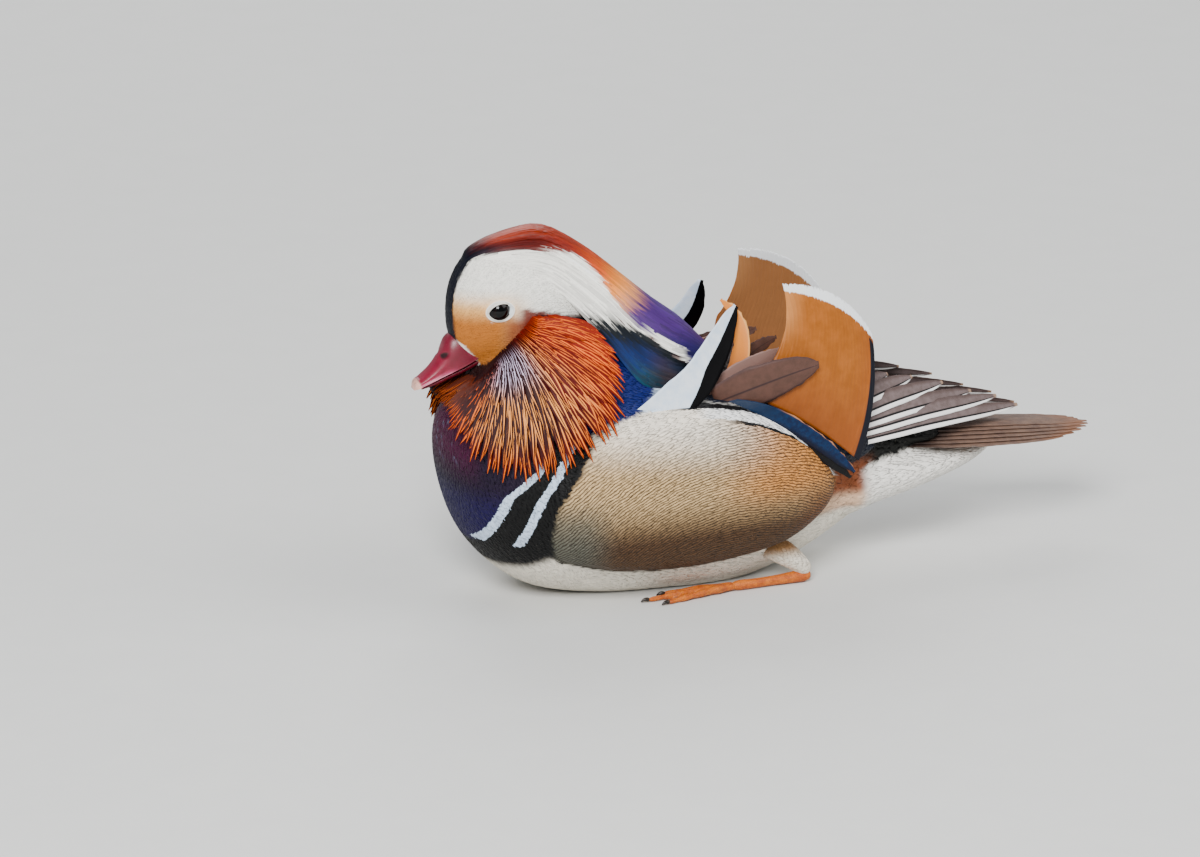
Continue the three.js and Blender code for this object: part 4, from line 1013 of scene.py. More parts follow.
class Former(Nodes):
    """A tree of geometry nodes that takes a shape and named inputs, and gives a shape in its finish."""

    def __init__(self, name, **inputs):
        super().__init__(bpy.data.node_groups.new(name, "GeometryNodeTree"))
        sockets = self.tree.interface
        for label, kind in {"Geometry": "Geometry", **inputs, "Finish": "Material"}.items():
            sockets.new_socket(label, in_out="INPUT", socket_type=f"NodeSocket{kind}")
        sockets.new_socket("Geometry", in_out="OUTPUT", socket_type="NodeSocketGeometry")
        self.inputs = self.tree.nodes.new("NodeGroupInput").outputs

    def given(self, label):
        return Term(self, self.inputs[label])

    def named(self, name, kind="FLOAT"):
        return self.node("GeometryNodeInputNamedAttribute", 0, {"data_type": kind}, i0=name)

    def store(self, shape, name, kind, value, domain="POINT"):
        settings = {"data_type": kind, "domain": domain}
        return self.node(
            "GeometryNodeStoreNamedAttribute", 0, settings, Geometry=shape, Name=name, Value=value,
        )

    def mesh_in(self, label):
        return self.node("GeometryNodeObjectInfo", "Geometry", Object=self.given(label))

    def combined(self, x, y, z=0.0):
        return self.node("ShaderNodeCombineXYZ", X=x, Y=y, Z=z)

    def compared(self, operation, a, b, **sockets):
        settings = {"data_type": "FLOAT", "operation": operation}
        return self.node("FunctionNodeCompare", 0, settings, A=a, B=b, **sockets)

    def patched(self, shape):
        """Writes the bake map: a lock lies in a small patch at its root's place on the skin's unwrap."""
        patch = self.scaled(self.combined(self.named("across"), self.named("along")), BAKE_PATCH)
        place = self.vector("ADD", self.named("root_uv", "FLOAT_VECTOR"), patch)
        return self.store(shape, "OFBake", "FLOAT2", place, "CORNER")

    def crisp_rim(self, shape):
        """Shades a vane smooth over each face of it, with a crisp edge where the two faces meet."""
        smooth = self.node("GeometryNodeSetShadeSmooth", i0=shape)
        rim = self.compared("GREATER_THAN", abs(self.named("across")), 0.9)
        domain = {"domain": "EDGE"}
        return self.node(
            "GeometryNodeSetShadeSmooth", 0, domain, i0=smooth, Selection=rim, Shade_Smooth=False,
        )

    def close(self, shape):
        """Ends the tree: the patches of the bake map, the rims, one solid mesh and its finish."""
        shape = self.node("GeometryNodeRealizeInstances", i0=self.crisp_rim(self.patched(shape)))
        done = self.node("GeometryNodeSetMaterial", Geometry=shape, Material=self.given("Finish"))
        self.link(done, self.tree.nodes.new("NodeGroupOutput").inputs["Geometry"])
        return self.tree


def sweep_tree():
    """Sweeps a lock's section along every guide, as wide as the guide says and flat side out."""
    tree = Former("sweep_locks", Section="Object")
    guides = tree.node("GeometryNodeMeshToCurve", Mesh=tree.given("Geometry"))
    flat = tree.named("flat", "FLOAT_VECTOR")
    turned = tree.node("GeometryNodeSetCurveNormal", 0, {"mode": "FREE"}, Curve=guides, Normal=flat)
    loop = tree.node("GeometryNodeMeshToCurve", Mesh=tree.mesh_in("Section"))
    return tree.close(tree.node(
        "GeometryNodeCurveToMesh", Curve=turned, Profile_Curve=loop, Scale=tree.named("wide"), Fill_Caps=True,
    ))


def apply_tree(thing, tree, **values):
    """Runs a tree on an object with its inputs set by name, and keeps the mesh it makes."""
    modifier = thing.modifiers.new("shape", "NODES")
    modifier.node_group = tree
    sockets = {item.name: item.identifier for item in tree.interface.items_tree if item.in_out == "INPUT"}
    for name, value in values.items():
        modifier[sockets[name]] = value
    return shaped(thing)


def section_object(name, outline):
    """A lock's section: [height, across] of each corner, as shares of its half width."""
    count = len(outline)
    mesh = bpy.data.meshes.new(name)
    mesh.from_pydata([(h, a, 0) for h, a in outline], [(i, (i + 1) % count) for i in range(count)], [])
    set_attribute(mesh, "across", "FLOAT", [a for _, a in outline])
    return piece(name, mesh)


skin_tree = kdtree.KDTree(len(skin_points))
for number, point in enumerate(skin_points):
    skin_tree.insert(point, number)
skin_tree.balance()
skin_uv_at = np.zeros((len(skin_points), 2))
loop_points = np.zeros(len(skin_mesh.loops), np.int32)
skin_mesh.loops.foreach_get("vertex_index", loop_points)
loop_uvs = np.zeros(len(skin_mesh.loops) * 2, np.float32)
skin_mesh.uv_layers["OFBake"].uv.foreach_get("vector", loop_uvs)
skin_uv_at[loop_points] = loop_uvs.reshape(-1, 2)


def locks(name, guides, section, material):
    """Many locks from their guides: paths, flat sides, half widths and colours, all given point by point."""
    paths, flats, wide, colours = guides
    count, steps = paths.shape[:2]
    mesh = bpy.data.meshes.new(name)
    index = np.arange(count * steps).reshape(count, steps)
    edges = np.stack([index[:, :-1].ravel(), index[:, 1:].ravel()], 1)
    mesh.from_pydata((paths.reshape(-1, 3) * MM).tolist(), edges.tolist(), [])
    set_attribute(mesh, "flat", "FLOAT_VECTOR", flats.reshape(-1, 3))
    set_attribute(mesh, "wide", "FLOAT", wide.ravel() * MM)
    set_attribute(mesh, "along", "FLOAT", np.tile(np.linspace(0, 1, steps), count))
    root_uv = [(*skin_uv_at[skin_tree.find(point)[1]], 0) for point in paths[:, 0]]
    set_attribute(mesh, "root_uv", "FLOAT_VECTOR", np.repeat(root_uv, steps, 0))
    for label, values in colours.items():
        set_attribute(mesh, label, "FLOAT_COLOR", np.clip(values, 0, 1).reshape(-1, 3))
    return apply_tree(piece(name, mesh), sweep, Section=section, Finish=material)


def crest_point(share, from_ridge, lift):
    """A point on or over the crest, at a share of its length and some degrees from its ridge."""
    share, from_ridge, lift = np.broadcast_arrays(share, from_ridge, lift)
    x, y, z, up, _, wide = np.moveaxis(stations(CREST, share), -1, 0)
    turn = np.radians(from_ridge)
    return np.stack([x, y + (wide + lift) * np.sin(turn), z + (up + lift) * np.cos(turn)], -1)


def crest_bed():
    """The bed under the plumes, from the crown to near their tips."""
    share = np.linspace(0.04, 0.9, 60)[:, None]
    turn = np.linspace(-CREST_SPAN, CREST_SPAN, 60)[None]
    share = 0.04 + (share - 0.04) * (1 - 0.14 * soft(55, 90, abs(turn)))
    grid = crest_point(share, turn, -1.2 - 1.2 * soft(0.3, 0.04, share))
    return sheet_of(grid, 1.2, grid_uv(share, turn / 200 + 0.5))


def plume_guides(seed, side):
    random = np.random.default_rng(seed)
    root = 0.03 + 0.65 * random.random(PLUMES) ** 0.9
    turn = -side * CREST_SPAN * (1.03 * random.random(PLUMES) - 0.03)
    limit = 0.985 - 0.115 * soft(45, 80, abs(turn)) - 0.07 * random.random(PLUMES)
    end = np.minimum(root + 0.3 + 0.14 * random.random(PLUMES), limit)
    end = np.where(root < 0.16, root + 0.16 + 0.1 * random.random(PLUMES), end)
    t = np.linspace(0, 1, PLUME_POINTS)[None]
    share = root[:, None] + (end - root)[:, None] * t
    height = (0.1 + 0.7 * random.random(PLUMES))[:, None]
    lift = -1.6 + (height + 1.6) * np.minimum(1, t * 3.2) - 0.5 * t
    sway = random.normal(0, 1.6, PLUMES)[:, None] * t
    paths = crest_point(share, turn[:, None] * (1 - 0.05 * t) + sway, lift)
    middle_height = np.interp(paths[..., 0], [row[0] for row in CREST], [row[2] for row in CREST])
    flats = unit(paths - np.stack([paths[..., 0], 0 * middle_height, middle_height], -1))
    low, high = PLUME_HALF
    half = (low + (high - low) * random.random(PLUMES))[:, None]
    half = half * (0.72 + 0.4 * soft(0.1, 0.5, root))[:, None]
    wide = half * np.minimum(1, 0.55 + t * 2) * (1 - 0.93 * t ** 3)
    streak = unit(paths[:, -1:] - paths[:, :1]) * random.normal(0, 1.7, (PLUMES, 1, 1))
    shifted = paths + streak + random.normal(0, 0.3, (PLUMES, 1, 3))
    colour = head_colour(shifted.reshape(-1, 3)).reshape(PLUMES, PLUME_POINTS, 3)
    pale = soft(0.4, 0.8, colour.min(2).mean(1))[:, None, None]
    vary = (0.72 + 0.56 * random.random(PLUMES))[:, None, None] * (0.85 + 0.25 * t)[..., None]
    return paths, flats, wide, {"tint": colour * (vary + (1 - vary) * pale)}


def plume_finish():
    """Silky: the markings, with painted shade a little darker at each lock's edges, in a fine grain."""
    shade = Shade("plumes", Roughness=0.42, Specular_IOR_Level=0.3)
    return shade.finish(
        shade.attribute("tint", "Color"),
        ("000000", abs(shade.attribute("across")).step(0.4, 1) * 0.12),
        ("000000", shade.noise(900, detail=2).step(0.45, 0.75) * 0.1),
    )


sweep = sweep_tree()
plume_section = section_object("plume_section", [(0.24, 0), (0.02, 1), (-0.16, 0), (0.02, -1)])
plume_material = plume_finish()
bed_points, bed_faces, bed_uv = crest_bed()
bed_mesh = mesh_of("crest_bed", bed_points, bed_faces)
add_uv(bed_mesh, "OFBake", bed_uv)
# Painted shade: the bed is darker than the markings, as it lies under the plumes.
set_markings(bed_mesh, head_colour(bed_points) * 0.85)
fasten(piece("crest_bed", bed_mesh, plumage_material), "crest_feathers", "crest")
for side, word in SIDES:
    plumes = locks(f"crest_plumes_{word}", plume_guides(7 + side, side), plume_section, plume_material)
    fasten(plumes, "crest_feathers", "crest")

# Ruff: stiff pointed hackles that fan from the cheek down over the breast.
# Each is dark maroon or rufous with a raised pale shaft, and they overlap in rows like tiles.
RUFF_ROOTS = [
    (-77, -20, 142), (-80, -20.5, 137.5), (-84, -20, 132.5), (-88, -19, 128), (-92, -17, 123.5),
    (-95, -14, 118.5), (-97, -10, 113.5),
]
RUFF_ENDS = [
    (-50, -29, 137), (-42.5, -39, 126), (-40.5, -46, 110), (-45, -51, 91), (-62, -53, 79),
    (-80, -51.5, 72.5), (-97, -46, 71), (-111, -38, 79), (-119, -29, 91), (-119, -19, 100),
    (-111, -11, 106.5),
]
# Rows, outermost first: where hackles are rooted and end, how far out they lie, how many, half their width
HACKLE_ROWS = [
    (0.50, 1.00, -0.9, 72, 1.65), (0.42, 0.95, 0.0, 70, 1.6), (0.34, 0.87, 0.8, 66, 1.5),
    (0.27, 0.77, 1.6, 62, 1.4), (0.20, 0.66, 2.4, 58, 1.25), (0.14, 0.55, 3.2, 54, 1.1),
    (0.08, 0.44, 4.0, 50, 0.95), (0.03, 0.34, 4.8, 46, 0.8),
    (0.0, 0.25, 5.4, 42, 0.65), (0.0, 0.15, 5.6, 38, 0.5),
]
HACKLE_POINTS = 9
FAR_SHORTER = 0.7  # how much less far the right side's foremost hackles reach
CHIN_HACKLES = 210


def ruff_point(fan, way, lift):
    """A point over the ruff, at a share of its fan and a share of the way from the cheek to the ends."""
    fan, way, lift = (np.asarray(v, float) for v in np.broadcast_arrays(fan, way, lift))
    root, end = through(RUFF_ROOTS, fan), through(RUFF_ENDS, fan)
    length = np.linalg.norm(end - root, axis=-1)
    bend = (0.16 - 0.18 * fan) * length
    middle = (root + end) / 2 + np.stack([0.5 * bend, -0.16 * length, 0.85 * bend], -1)
    way = way[..., None]
    first = root + (middle - root) * way
    second = middle + (end - middle) * way
    point = first + (second - first) * way
    point[..., 1] -= lift
    return point


def hackle_colours(fan, way):
    """The colour of the vane and of the shaft, by the place in the ruff."""
    flat_fan, flat_way = fan.ravel(), way.ravel()
    vane = painted(
        "380e10", len(flat_fan),
        ("581610", soft(0.7, 1.0, flat_way)),
        ("6c1e0e", soft(0.5, 0.25, flat_fan)),
        ("8a3010", soft(0.28, 0.08, flat_fan)),
        ("2c0d14", soft(0.4, 0.62, flat_fan) * soft(0.6, 0.2, flat_way)),
        ("5c2a18", soft(0.82, 0.94, flat_fan)),
    )
    shaft = painted(
        "eeaa70", len(flat_fan),
        ("e8823e", soft(0.65, 0.95, flat_way)),
        ("dccfe4", soft(0.42, 0.18, flat_way) * soft(0.34, 0.52, flat_fan)),
        ("e07830", soft(0.44, 0.2, flat_fan)),
        ("d2692c", soft(0.66, 0.84, flat_fan)),
        ("a8672e", soft(0.84, 0.96, flat_fan)),
    )
    return vane.reshape(fan.shape + (3,)), shaft.reshape(fan.shape + (3,))


def hackle_width(half, t):
    return half * np.minimum(1, 0.45 + 1.6 * t) * (1 - 0.92 * t ** 3.6)


def hackle_guides(seed, side):
    random = np.random.default_rng(seed)
    every = []
    t = np.linspace(0, 1, HACKLE_POINTS)
    for root, end, lift, count, half in HACKLE_ROWS:
        for k in range(count):
            fan = (k + 0.5 + 0.5 * (random.random() - 0.5)) / count
            shorter = FAR_SHORTER * (side < 0) * soft(0.66, 0.9, fan)
            stop = end * (1 + 0.13 * (random.random() - 0.6)) * (1 - shorter)
            start = root + 0.05 * (random.random() - 0.5) * (root > 0)
            way = start + (stop - start) * t
            height = lift + 1.3 * random.random()
            lifts = height - (height + 1.4) * np.maximum(0, 1 - t * 3.5) - 0.35 * height * t
            drift = 0.012 * random.normal() * t + 0.006 * np.sin(3.5 * t + 6.3 * random.random())
            path = ruff_point(np.clip(fan + drift, 0, 1), way, lifts)
            size = half * (0.85 + 0.3 * random.random()) * (1 - 0.45 * soft(0.78, 0.95, fan))
            every.append((path, hackle_width(size, t), np.full_like(t, fan), way))
    paths, wide, fans, ways = (np.stack(values) for values in zip(*every))
    vane, shaft = hackle_colours(fans, ways)
    bright = 0.8 + 0.4 * random.random(len(paths))[:, None, None]
    flats = unit(np.array([0, -1, 0]) + 0.35 * unit(paths - np.array([-85, -8, 100])))
    across = np.array([1, side, 1])
    return paths * across, flats * across, wide, {"tint": vane * bright, "shaft": shaft * bright}


def chin_guides(seed, side):
    """Short hackles of the chin, from under the bill down and forward to meet the ruff."""
    random = np.random.default_rng(seed)
    t = np.linspace(0, 1, HACKLE_POINTS)
    ahead, apart, down, longer = (random.random(CHIN_HACKLES)[:, None] for _ in range(4))
    run = (8 + 11 * longer) * t
    y = -side * (1.5 + 9 * apart)
    x = -96.5 - 5.5 * ahead - 0.88 * run
    z = 112.8 - 2.4 * ahead - 1.5 * down - (0.42 + 0.26 * down) * run - 0.8 * t ** 2
    paths = np.stack([x, y * (1 - 0.12 * t), z], -1)
    wide = hackle_width(0.6 + 0.25 * random.random(CHIN_HACKLES)[:, None], t)
    flats = unit(np.stack(np.broadcast_arrays(-0.3 + 0 * wide, -side * (0.4 + 0.6 * apart), -0.2), -1))
    vane, shaft = hackle_colours(np.full_like(wide, 0.9), np.broadcast_to(0.4 + 0.6 * t, wide.shape))
    return paths, flats, wide, {"tint": vane, "shaft": shaft}


def hackle_finish():
    """A dark or rufous vane with a pale shaft down its middle, from a little past its root."""
    shade = Shade("hackles", Roughness=0.55, Specular_IOR_Level=0.15)
    middle = abs(shade.attribute("across")).step(0.36, 0.14) * shade.attribute("along").step(0.05, 0.35)
    return shade.finish(
        shade.attribute("tint", "Color"),
        (shade.attribute("shaft", "Color"), middle),
        ("1a0508", shade.noise(800, detail=2).step(0.45, 0.75) * 0.25),
    )


def ruff_bed():
    """The short dense feathers under the hackles."""
    fan = np.linspace(0.01, 0.99, 40)[:, None]
    way = np.linspace(0.02, 0.78, 24)[None] * (1 - 0.7 * soft(0.75, 0.97, fan))
    return sheet_of(ruff_point(fan, way, -1.5), 1.2, grid_uv(fan, way))


hackle_section = section_object(
    "hackle_section", [(0.36, 0), (0.2, 0.3), (0.0, 1), (-0.12, 0), (0.0, -1), (0.2, -0.3)],
)
hackle_material = hackle_finish()
bed_points, bed_faces, bed_uv = ruff_bed()
for side, word in SIDES:
    bed = mesh_of(f"ruff_bed_{word}", *on_side((bed_points, bed_faces), side))
    add_uv(bed, "OFBake", bed_uv)
    set_markings(bed, painted("2a0d10", len(bed_points)))
    fasten(piece(f"ruff_bed_{word}", bed, plumage_material), "ruff_feathers", f"ruff_{word}")
    for kind, guides in (("ruff", hackle_guides(11 + side, side)), ("chin", chin_guides(15 + side, side))):
        hackles = locks(f"{kind}_hackles_{word}", guides, hackle_section, hackle_material)
        fasten(hackles, "ruff_feathers", f"ruff_{word}")
for section in (plume_section, hackle_section):
    bpy.data.objects.remove(section)


# Bill: two halves of horn over bone. The upper one carries the nail at its tip and a nostril on each side.
# It closes over the lower one along the mouth line, which runs down from the gape to the tip.
GAPE = np.array([-100.5, 0, 118.1])
MOUTH_SLOPE = math.radians(24.6)
# Rows: distance from the gape, height, half width
UPPER_BILL = [
    (-8, 13, 7), (2, 15.8, 8.3), (7.4, 15.2, 8.3), (12.8, 10.2, 7.5), (19, 6.4, 6.6), (25, 4.4, 5.9),
    (29.5, 3.3, 4.9), (31.75, 1, 2.4),
]
LOWER_BILL = [(-8, 3.5, 6.4), (4, 3.6, 6.9), (14, 3, 5.8), (22, 2.4, 4.9), (28.4, 1.4, 3.2)]
LOWER_LIFT = 0.2
EDGE_LEVEL = 0.22  # the widest place's share of the height
EDGE_MOST = 0.9
NOSTRIL_AT = (-115.2, 121.4)
NOSTRIL_HALF = (2.2, 1.15)
NOSTRIL_TILT = math.radians(44.6)
NOSTRIL_DEPTH = 1.3
NAIL_AT = 28.5
BILL_RINGS = 110
BILL_SIDES = 110


def wrapped(rings, sides, flat_ends=False):
    """The faces round a closed grid of rings, with flat ends or with a fan to a pole past each end."""
    index = np.arange(rings * sides).reshape(rings, sides)
    following = np.roll(index, -1, 1)
    walls = np.stack([index[:-1], index[1:], following[1:], following[:-1]], -1).reshape(-1, 4)
    faces = [tuple(f) for f in walls]
    if flat_ends:
        return faces + [tuple(index[0]), tuple(reversed(index[-1]))]
    faces += [(index.size, a, b) for a, b in zip(index[0], following[0])]
    return faces + [(index.size + 1, b, a) for a, b in zip(index[-1], following[-1])]


def nostril(points):
    """1 in the middle of a nostril and 0 outside it."""
    reach = oval_reach(points, NOSTRIL_AT, NOSTRIL_HALF, NOSTRIL_TILT)
    return soft(1.15, 0.55, reach) * (abs(points[..., 1]) > 2)


def bill_half(rows, upward, lift):
    """One half of the bill: points, faces and the distance of each point from the gape."""
    along, tall, wide = (column[:, None] for column in through(rows, np.linspace(0, 1, BILL_RINGS)).T)
    turn = np.arange(BILL_SIDES) / BILL_SIDES * 2 * math.pi
    high, flat = np.sin(turn)[None], np.cos(turn)[None]
    edge = np.minimum(EDGE_LEVEL * tall, EDGE_MOST)
    rise = np.where(high > 0, tall - edge, edge) * np.sign(high) * abs(high) ** 0.85
    across = wide * np.sign(flat) * abs(flat) ** 0.8
    if upward > 0:
        lip = 0.28 * np.exp(-((high + 0.06) / 0.12) ** 2)
        groove = 0.35 * np.exp(-((high - 0.22) / 0.16) ** 2) * soft(8, 14, along)
        nail = 0.3 * soft(NAIL_AT - 1.6, NAIL_AT, along) * soft(0.9, 0.5, abs(flat))
        across = across + np.sign(flat) * (lip - groove)
        rise = rise + nail * np.maximum(0, high)
    level_up = upward * (lift + edge + rise)
    x = np.broadcast_to(-along, level_up.shape)
    cos, sin = math.cos(MOUTH_SLOPE), math.sin(MOUTH_SLOPE)
    grid = np.stack([x * cos - level_up * sin, across, x * sin + level_up * cos], -1) + GAPE
    if upward > 0:
        grid[..., 1] -= np.sign(grid[..., 1]) * NOSTRIL_DEPTH * nostril(grid)
    points = np.concatenate([grid.reshape(-1, 3), grid[:1].mean(1), grid[-1:].mean(1)])
    reach = np.concatenate([np.broadcast_to(along, level_up.shape).ravel(), [rows[0][0], rows[-1][0]]])
    faces = wrapped(BILL_RINGS, BILL_SIDES)
    return points, faces if upward > 0 else [tuple(reversed(f)) for f in faces], reach


def bill_colour(points, reach, upward):
    """Crimson horn, darker at the base, with a pale nail. Painted shade darkens the nostrils, and a painted
    highlight runs along the upper half's cutting edge.
    """
    from_gape = points - GAPE
    above = from_gape[:, 2] * math.cos(MOUTH_SLOPE) - from_gape[:, 0] * math.sin(MOUTH_SLOPE)
    layers = [("660a2a", soft(18, 3, reach) * 0.75)]
    if upward > 0:
        # Painted highlight: pale pink along the lower edge of the upper half. Painted shade: nearly black in the
        # nostril pits.
        layers += [("c85880", soft(3.0, 1.2, above) * soft(8, 14, reach) * 0.5), ("2b0410", nostril(points))]
    else:
        layers += [("5a0c20", np.full(len(points), 0.6))]
    layers += [("e9c3b4", soft(NAIL_AT - 0.8, NAIL_AT + 0.4, reach) * (0.9 if upward > 0 else 0.4))]
    return painted("860b3c", len(points), *layers)


def bill_finish():
    shade = Shade(
        "bill_horn", Roughness=0.42, Coat_Weight=0.12, Coat_Roughness=0.22, Subsurface_Weight=0.08,
        Subsurface_Scale=0.002,
    )
    cloud = shade.noise(170, detail=5)
    pores = shade.noise(1400, detail=2)
    shade.bump(cloud * 0.5 + pores * 0.25, 0.35, 0.0005)
    return shade.finish(
        shade.attribute("tint", "Color"),
        ("5e0a20", cloud.step(0.5, 0.72) * 0.45),
        ("d0708c", cloud.step(0.42, 0.25) * 0.15),
        ("f0c0cc", pores.step(0.68, 0.8) * 0.25),
    )


bill_material = bill_finish()
for word, rows, upward, lift in (("upper", UPPER_BILL, 1, 0), ("lower", LOWER_BILL, -1, LOWER_LIFT)):
    points, faces, reach = bill_half(rows, upward, lift)
    mesh = mesh_of(f"bill_{word}_horn", points, faces)
    set_attribute(mesh, "tint", "FLOAT_COLOR", bill_colour(points, reach, upward))
    fasten(piece(f"bill_{word}_horn", mesh, bill_material), "bill", f"bill_{word}")

# Eyes: a wet dark ball with a brown iris and a wide pupil, held between two lids with a bare rim.
# The lids rest on the ball and run out over the cheek, where they take its colour.
PUPIL = 2.7
IRIS = 4.3
EYE_RINGS, EYE_SIDES = 47, 72
LID_TURNS, LID_COLUMNS = 120, 26
LID_THICK = 0.3
# The lids' section: how far out from their edge, and how far over the eyeball at the rim
LID_SECTION = [(-0.15, -0.5), (-0.1, 0.1), (0.03, 0.36), (0.2, 0.46), (0.4, 0.4), (0.6, 0.2)]
LID_SKIRT = [(0.85, 0.32), (1.15, 0.25), (1.6, 0.05), (2.1, -0.6)]  # and on the cheek, over the skin


def eyeball():
    """A ball whose pole looks out of the bird's left side."""
    lean = np.linspace(0, math.pi, EYE_RINGS + 2)[1:-1, None]
    turn = np.arange(EYE_SIDES)[None] / EYE_SIDES * 2 * math.pi
    ball = [np.sin(lean) * np.cos(turn), -np.cos(lean), np.sin(lean) * np.sin(turn)]
    grid = np.stack(np.broadcast_arrays(*ball), -1)
    points = np.concatenate([grid.reshape(-1, 3), [(0, -1, 0), (0, 1, 0)]]) * EYE_RADIUS
    return points + EYE_AT, wrapped(EYE_RINGS, EYE_SIDES)


def eye_finish():
    shade = Shade("eyes", Roughness=0.12, Specular_IOR_Level=0.1, Coat_Weight=0.3, Coat_Roughness=0.02)
    reach = shade.attribute("reach")
    return shade.finish(
        "1c0c06",
        ("0a0402", shade.noise(1500).step(0.35, 0.65)),
        ("010101", reach.step(PUPIL + 0.25, PUPIL - 0.1)),
        ("030202", reach.step(IRIS - 0.7, IRIS)),
    )


def lid_ring():
    """Both lids: a rounded rim on the eyeball that runs out into the cheek, pointed a little at two corners."""
    turn = np.arange(LID_TURNS)[:, None] / LID_TURNS * 2 * math.pi
    share = np.linspace(0, 1, LID_COLUMNS)
    out, over_it = through(LID_SECTION + LID_SKIRT, share).T
    on_cheek = soft(0.52, 0.66, share)[None]
    corner = 1 + 0.05 * abs(np.cos(turn)) ** 8
    along = (LID_HALF[0] * corner + out) * np.cos(turn)
    upward = (LID_HALF[1] + out) * np.sin(turn)
    x = EYE_AT[0] + along * math.cos(LID_TILT) - upward * math.sin(LID_TILT)
    z = EYE_AT[2] + along * math.sin(LID_TILT) + upward * math.cos(LID_TILT)
    on_ball = EYE_AT[1] - np.sqrt(np.maximum((EYE_RADIUS + over_it) ** 2 - (along ** 2 + upward ** 2), 1.5))
    _, middle, high, low, half = section_at(HEAD, x)
    rise = abs(z - middle) / np.where(z > middle, high, low)
    on_skin = -half * np.maximum(0, 1 - rise ** 2.1) ** (1 / 2.1) + SKIN_DEPTH - over_it
    grid = np.stack([x, on_ball + (on_skin - on_ball) * on_cheek, z], -1)
    return sheet_of(np.concatenate([grid, grid[:1]]), LID_THICK, grid_uv(share, np.zeros((LID_TURNS + 1, 1))))


def lid_finish():
    """Dark at the edge, then a pale bare rim, and on the cheek the colour of the feathers there."""
    shade = Shade("lids", Roughness=0.5)
    outward = shade.attribute("outward")
    grain = shade.noise(1800, detail=2)
    shade.bump(grain, 0.4, 0.0002)
    return shade.finish(
        "17110f",
        ("e4e0d8", outward.step(0.14, 0.3)),
        ("b8a890", grain.step(0.5, 0.8) * 0.3),
        (shade.attribute("tint", "Color"), outward.step(0.55, 0.8)),
    )


eye_material = eye_finish()
lid_material = lid_finish()
ball_points, ball_faces = eyeball()
from_pole = np.hypot(*(ball_points - EYE_AT)[:, [0, 2]].T) + 9 * (ball_points[:, 1] > EYE_AT[1])
rim_points, rim_faces, rim_places = lid_ring()
for side, word in SIDES:
    eye_mesh = mesh_of(f"eyeball_{word}", *on_side((ball_points, ball_faces), side))
    set_attribute(eye_mesh, "reach", "FLOAT", from_pole)
    fasten(piece(f"eyeball_{word}", eye_mesh, eye_material), "eye", f"eye_{word}")
    lid_mesh = mesh_of(f"lids_{word}", *on_side((rim_points, rim_faces), side))
    set_attribute(lid_mesh, "outward", "FLOAT", rim_places[:, 0])
    set_attribute(lid_mesh, "tint", "FLOAT_COLOR", head_colour(rim_points))
    fasten(piece(f"lids_{word}", lid_mesh, lid_material), "white_feathers")


# Coat: small soft feathers that overlap like shingles from the bill to the tail, each rooted in the skin.
# They lie back over head and body, a few millimetres long on the head and about a centimetre on the flanks.
FLOOR_CLEARANCE = 0.15
# Each zone's number, the distance between its feathers, their length, half width and relief, and its slot
ZONES = {
    "head_left": (0, 0.8, 3.4, 0.36, 0.55, "white_feathers"),
    "head_right": (8, 0.8, 3.4, 0.36, 0.55, "white_feathers"),
    "neck": (1, 1.4, 9, 0.8, 1.1, "blue_feathers"),
    "breast": (2, 1.4, 6, 0.8, 0.7, "body_feathers"),
    "back": (3, 2.2, 10, 2.0, 1.1, "body_feathers"),
    "belly": (4, 1.8, 8, 1.1, 0.7, "body_feathers"),
    "flank_left": (5, 1.6, 11, 1.0, 0.35, "flank_feathers"),
    "flank_right": (6, 1.6, 11, 1.0, 0.35, "flank_feathers"),
    "undertail": (7, 1.6, 12, 1.0, 0.4, "white_feathers"),
}
ZONE = {name: row[0] for name, row in ZONES.items()}
BARE = -1  # no feathers there


def zone_of(points):
    """The number of the coat's zone at each point."""
    near = levels(points)
    body = np.minimum(near["torso"], near["rump"])
    on_flank = near["flank"] < np.minimum(body, near["neck"]) + 0.01
    right = points[:, 1] > 0
    zone = np.full(len(points), ZONE["back"])
    zone[points[:, 2] < 46] = ZONE["belly"]
    zone[points[:, 0] < -58] = ZONE["breast"]
    zone[near["undertail"] < body + 0.02] = ZONE["undertail"]
    zone[on_flank] = np.where(right, ZONE["flank_right"], ZONE["flank_left"])[on_flank]
    zone[near["neck"] < body] = ZONE["neck"]
    on_head = near["head"] < np.minimum(near["neck"], near["torso"])
    zone[on_head] = np.where(right, ZONE["head_right"], ZONE["head_left"])[on_head]
    return zone


def lie_of(points, zone):
    """The way the feathers lie at each point, before it is laid on the skin."""
    x, y = points[:, 0], points[:, 1]
    back_and_down = np.array([0.87, 0, -0.5])
    blend = soft(-72, -52, x)[:, None]
    from_bill = unit(points - np.array([-116, 0, 127])) * (1 - blend) + back_and_down * blend
    from_throat = unit(points - np.array([-128, 0, 122]))
    at, _, mid, high, _, _ = stations(FLANK, np.linspace(0, 1, 200)).T
    slope, swell = (np.interp(x, at, np.gradient(value, at)) for value in (mid, high))
    rise = np.clip(slope + flank_rim(points) * swell, -1.3, 0.25)
    along_flank = np.stack([np.ones_like(x), -0.3 * np.sign(y) * soft(30, 60, x), rise], -1)
    lie = np.tile([1.0, 0, 0.03], (len(points), 1))
    for names, way in (
        (("head_left", "head_right"), from_bill), (("neck",), np.tile(back_and_down, (len(points), 1))),
        (("breast",), from_throat), (("flank_left", "flank_right"), along_flank),
    ):
        here = np.isin(zone, [ZONE[name] for name in names])
        lie[here] = way[here]
    return lie


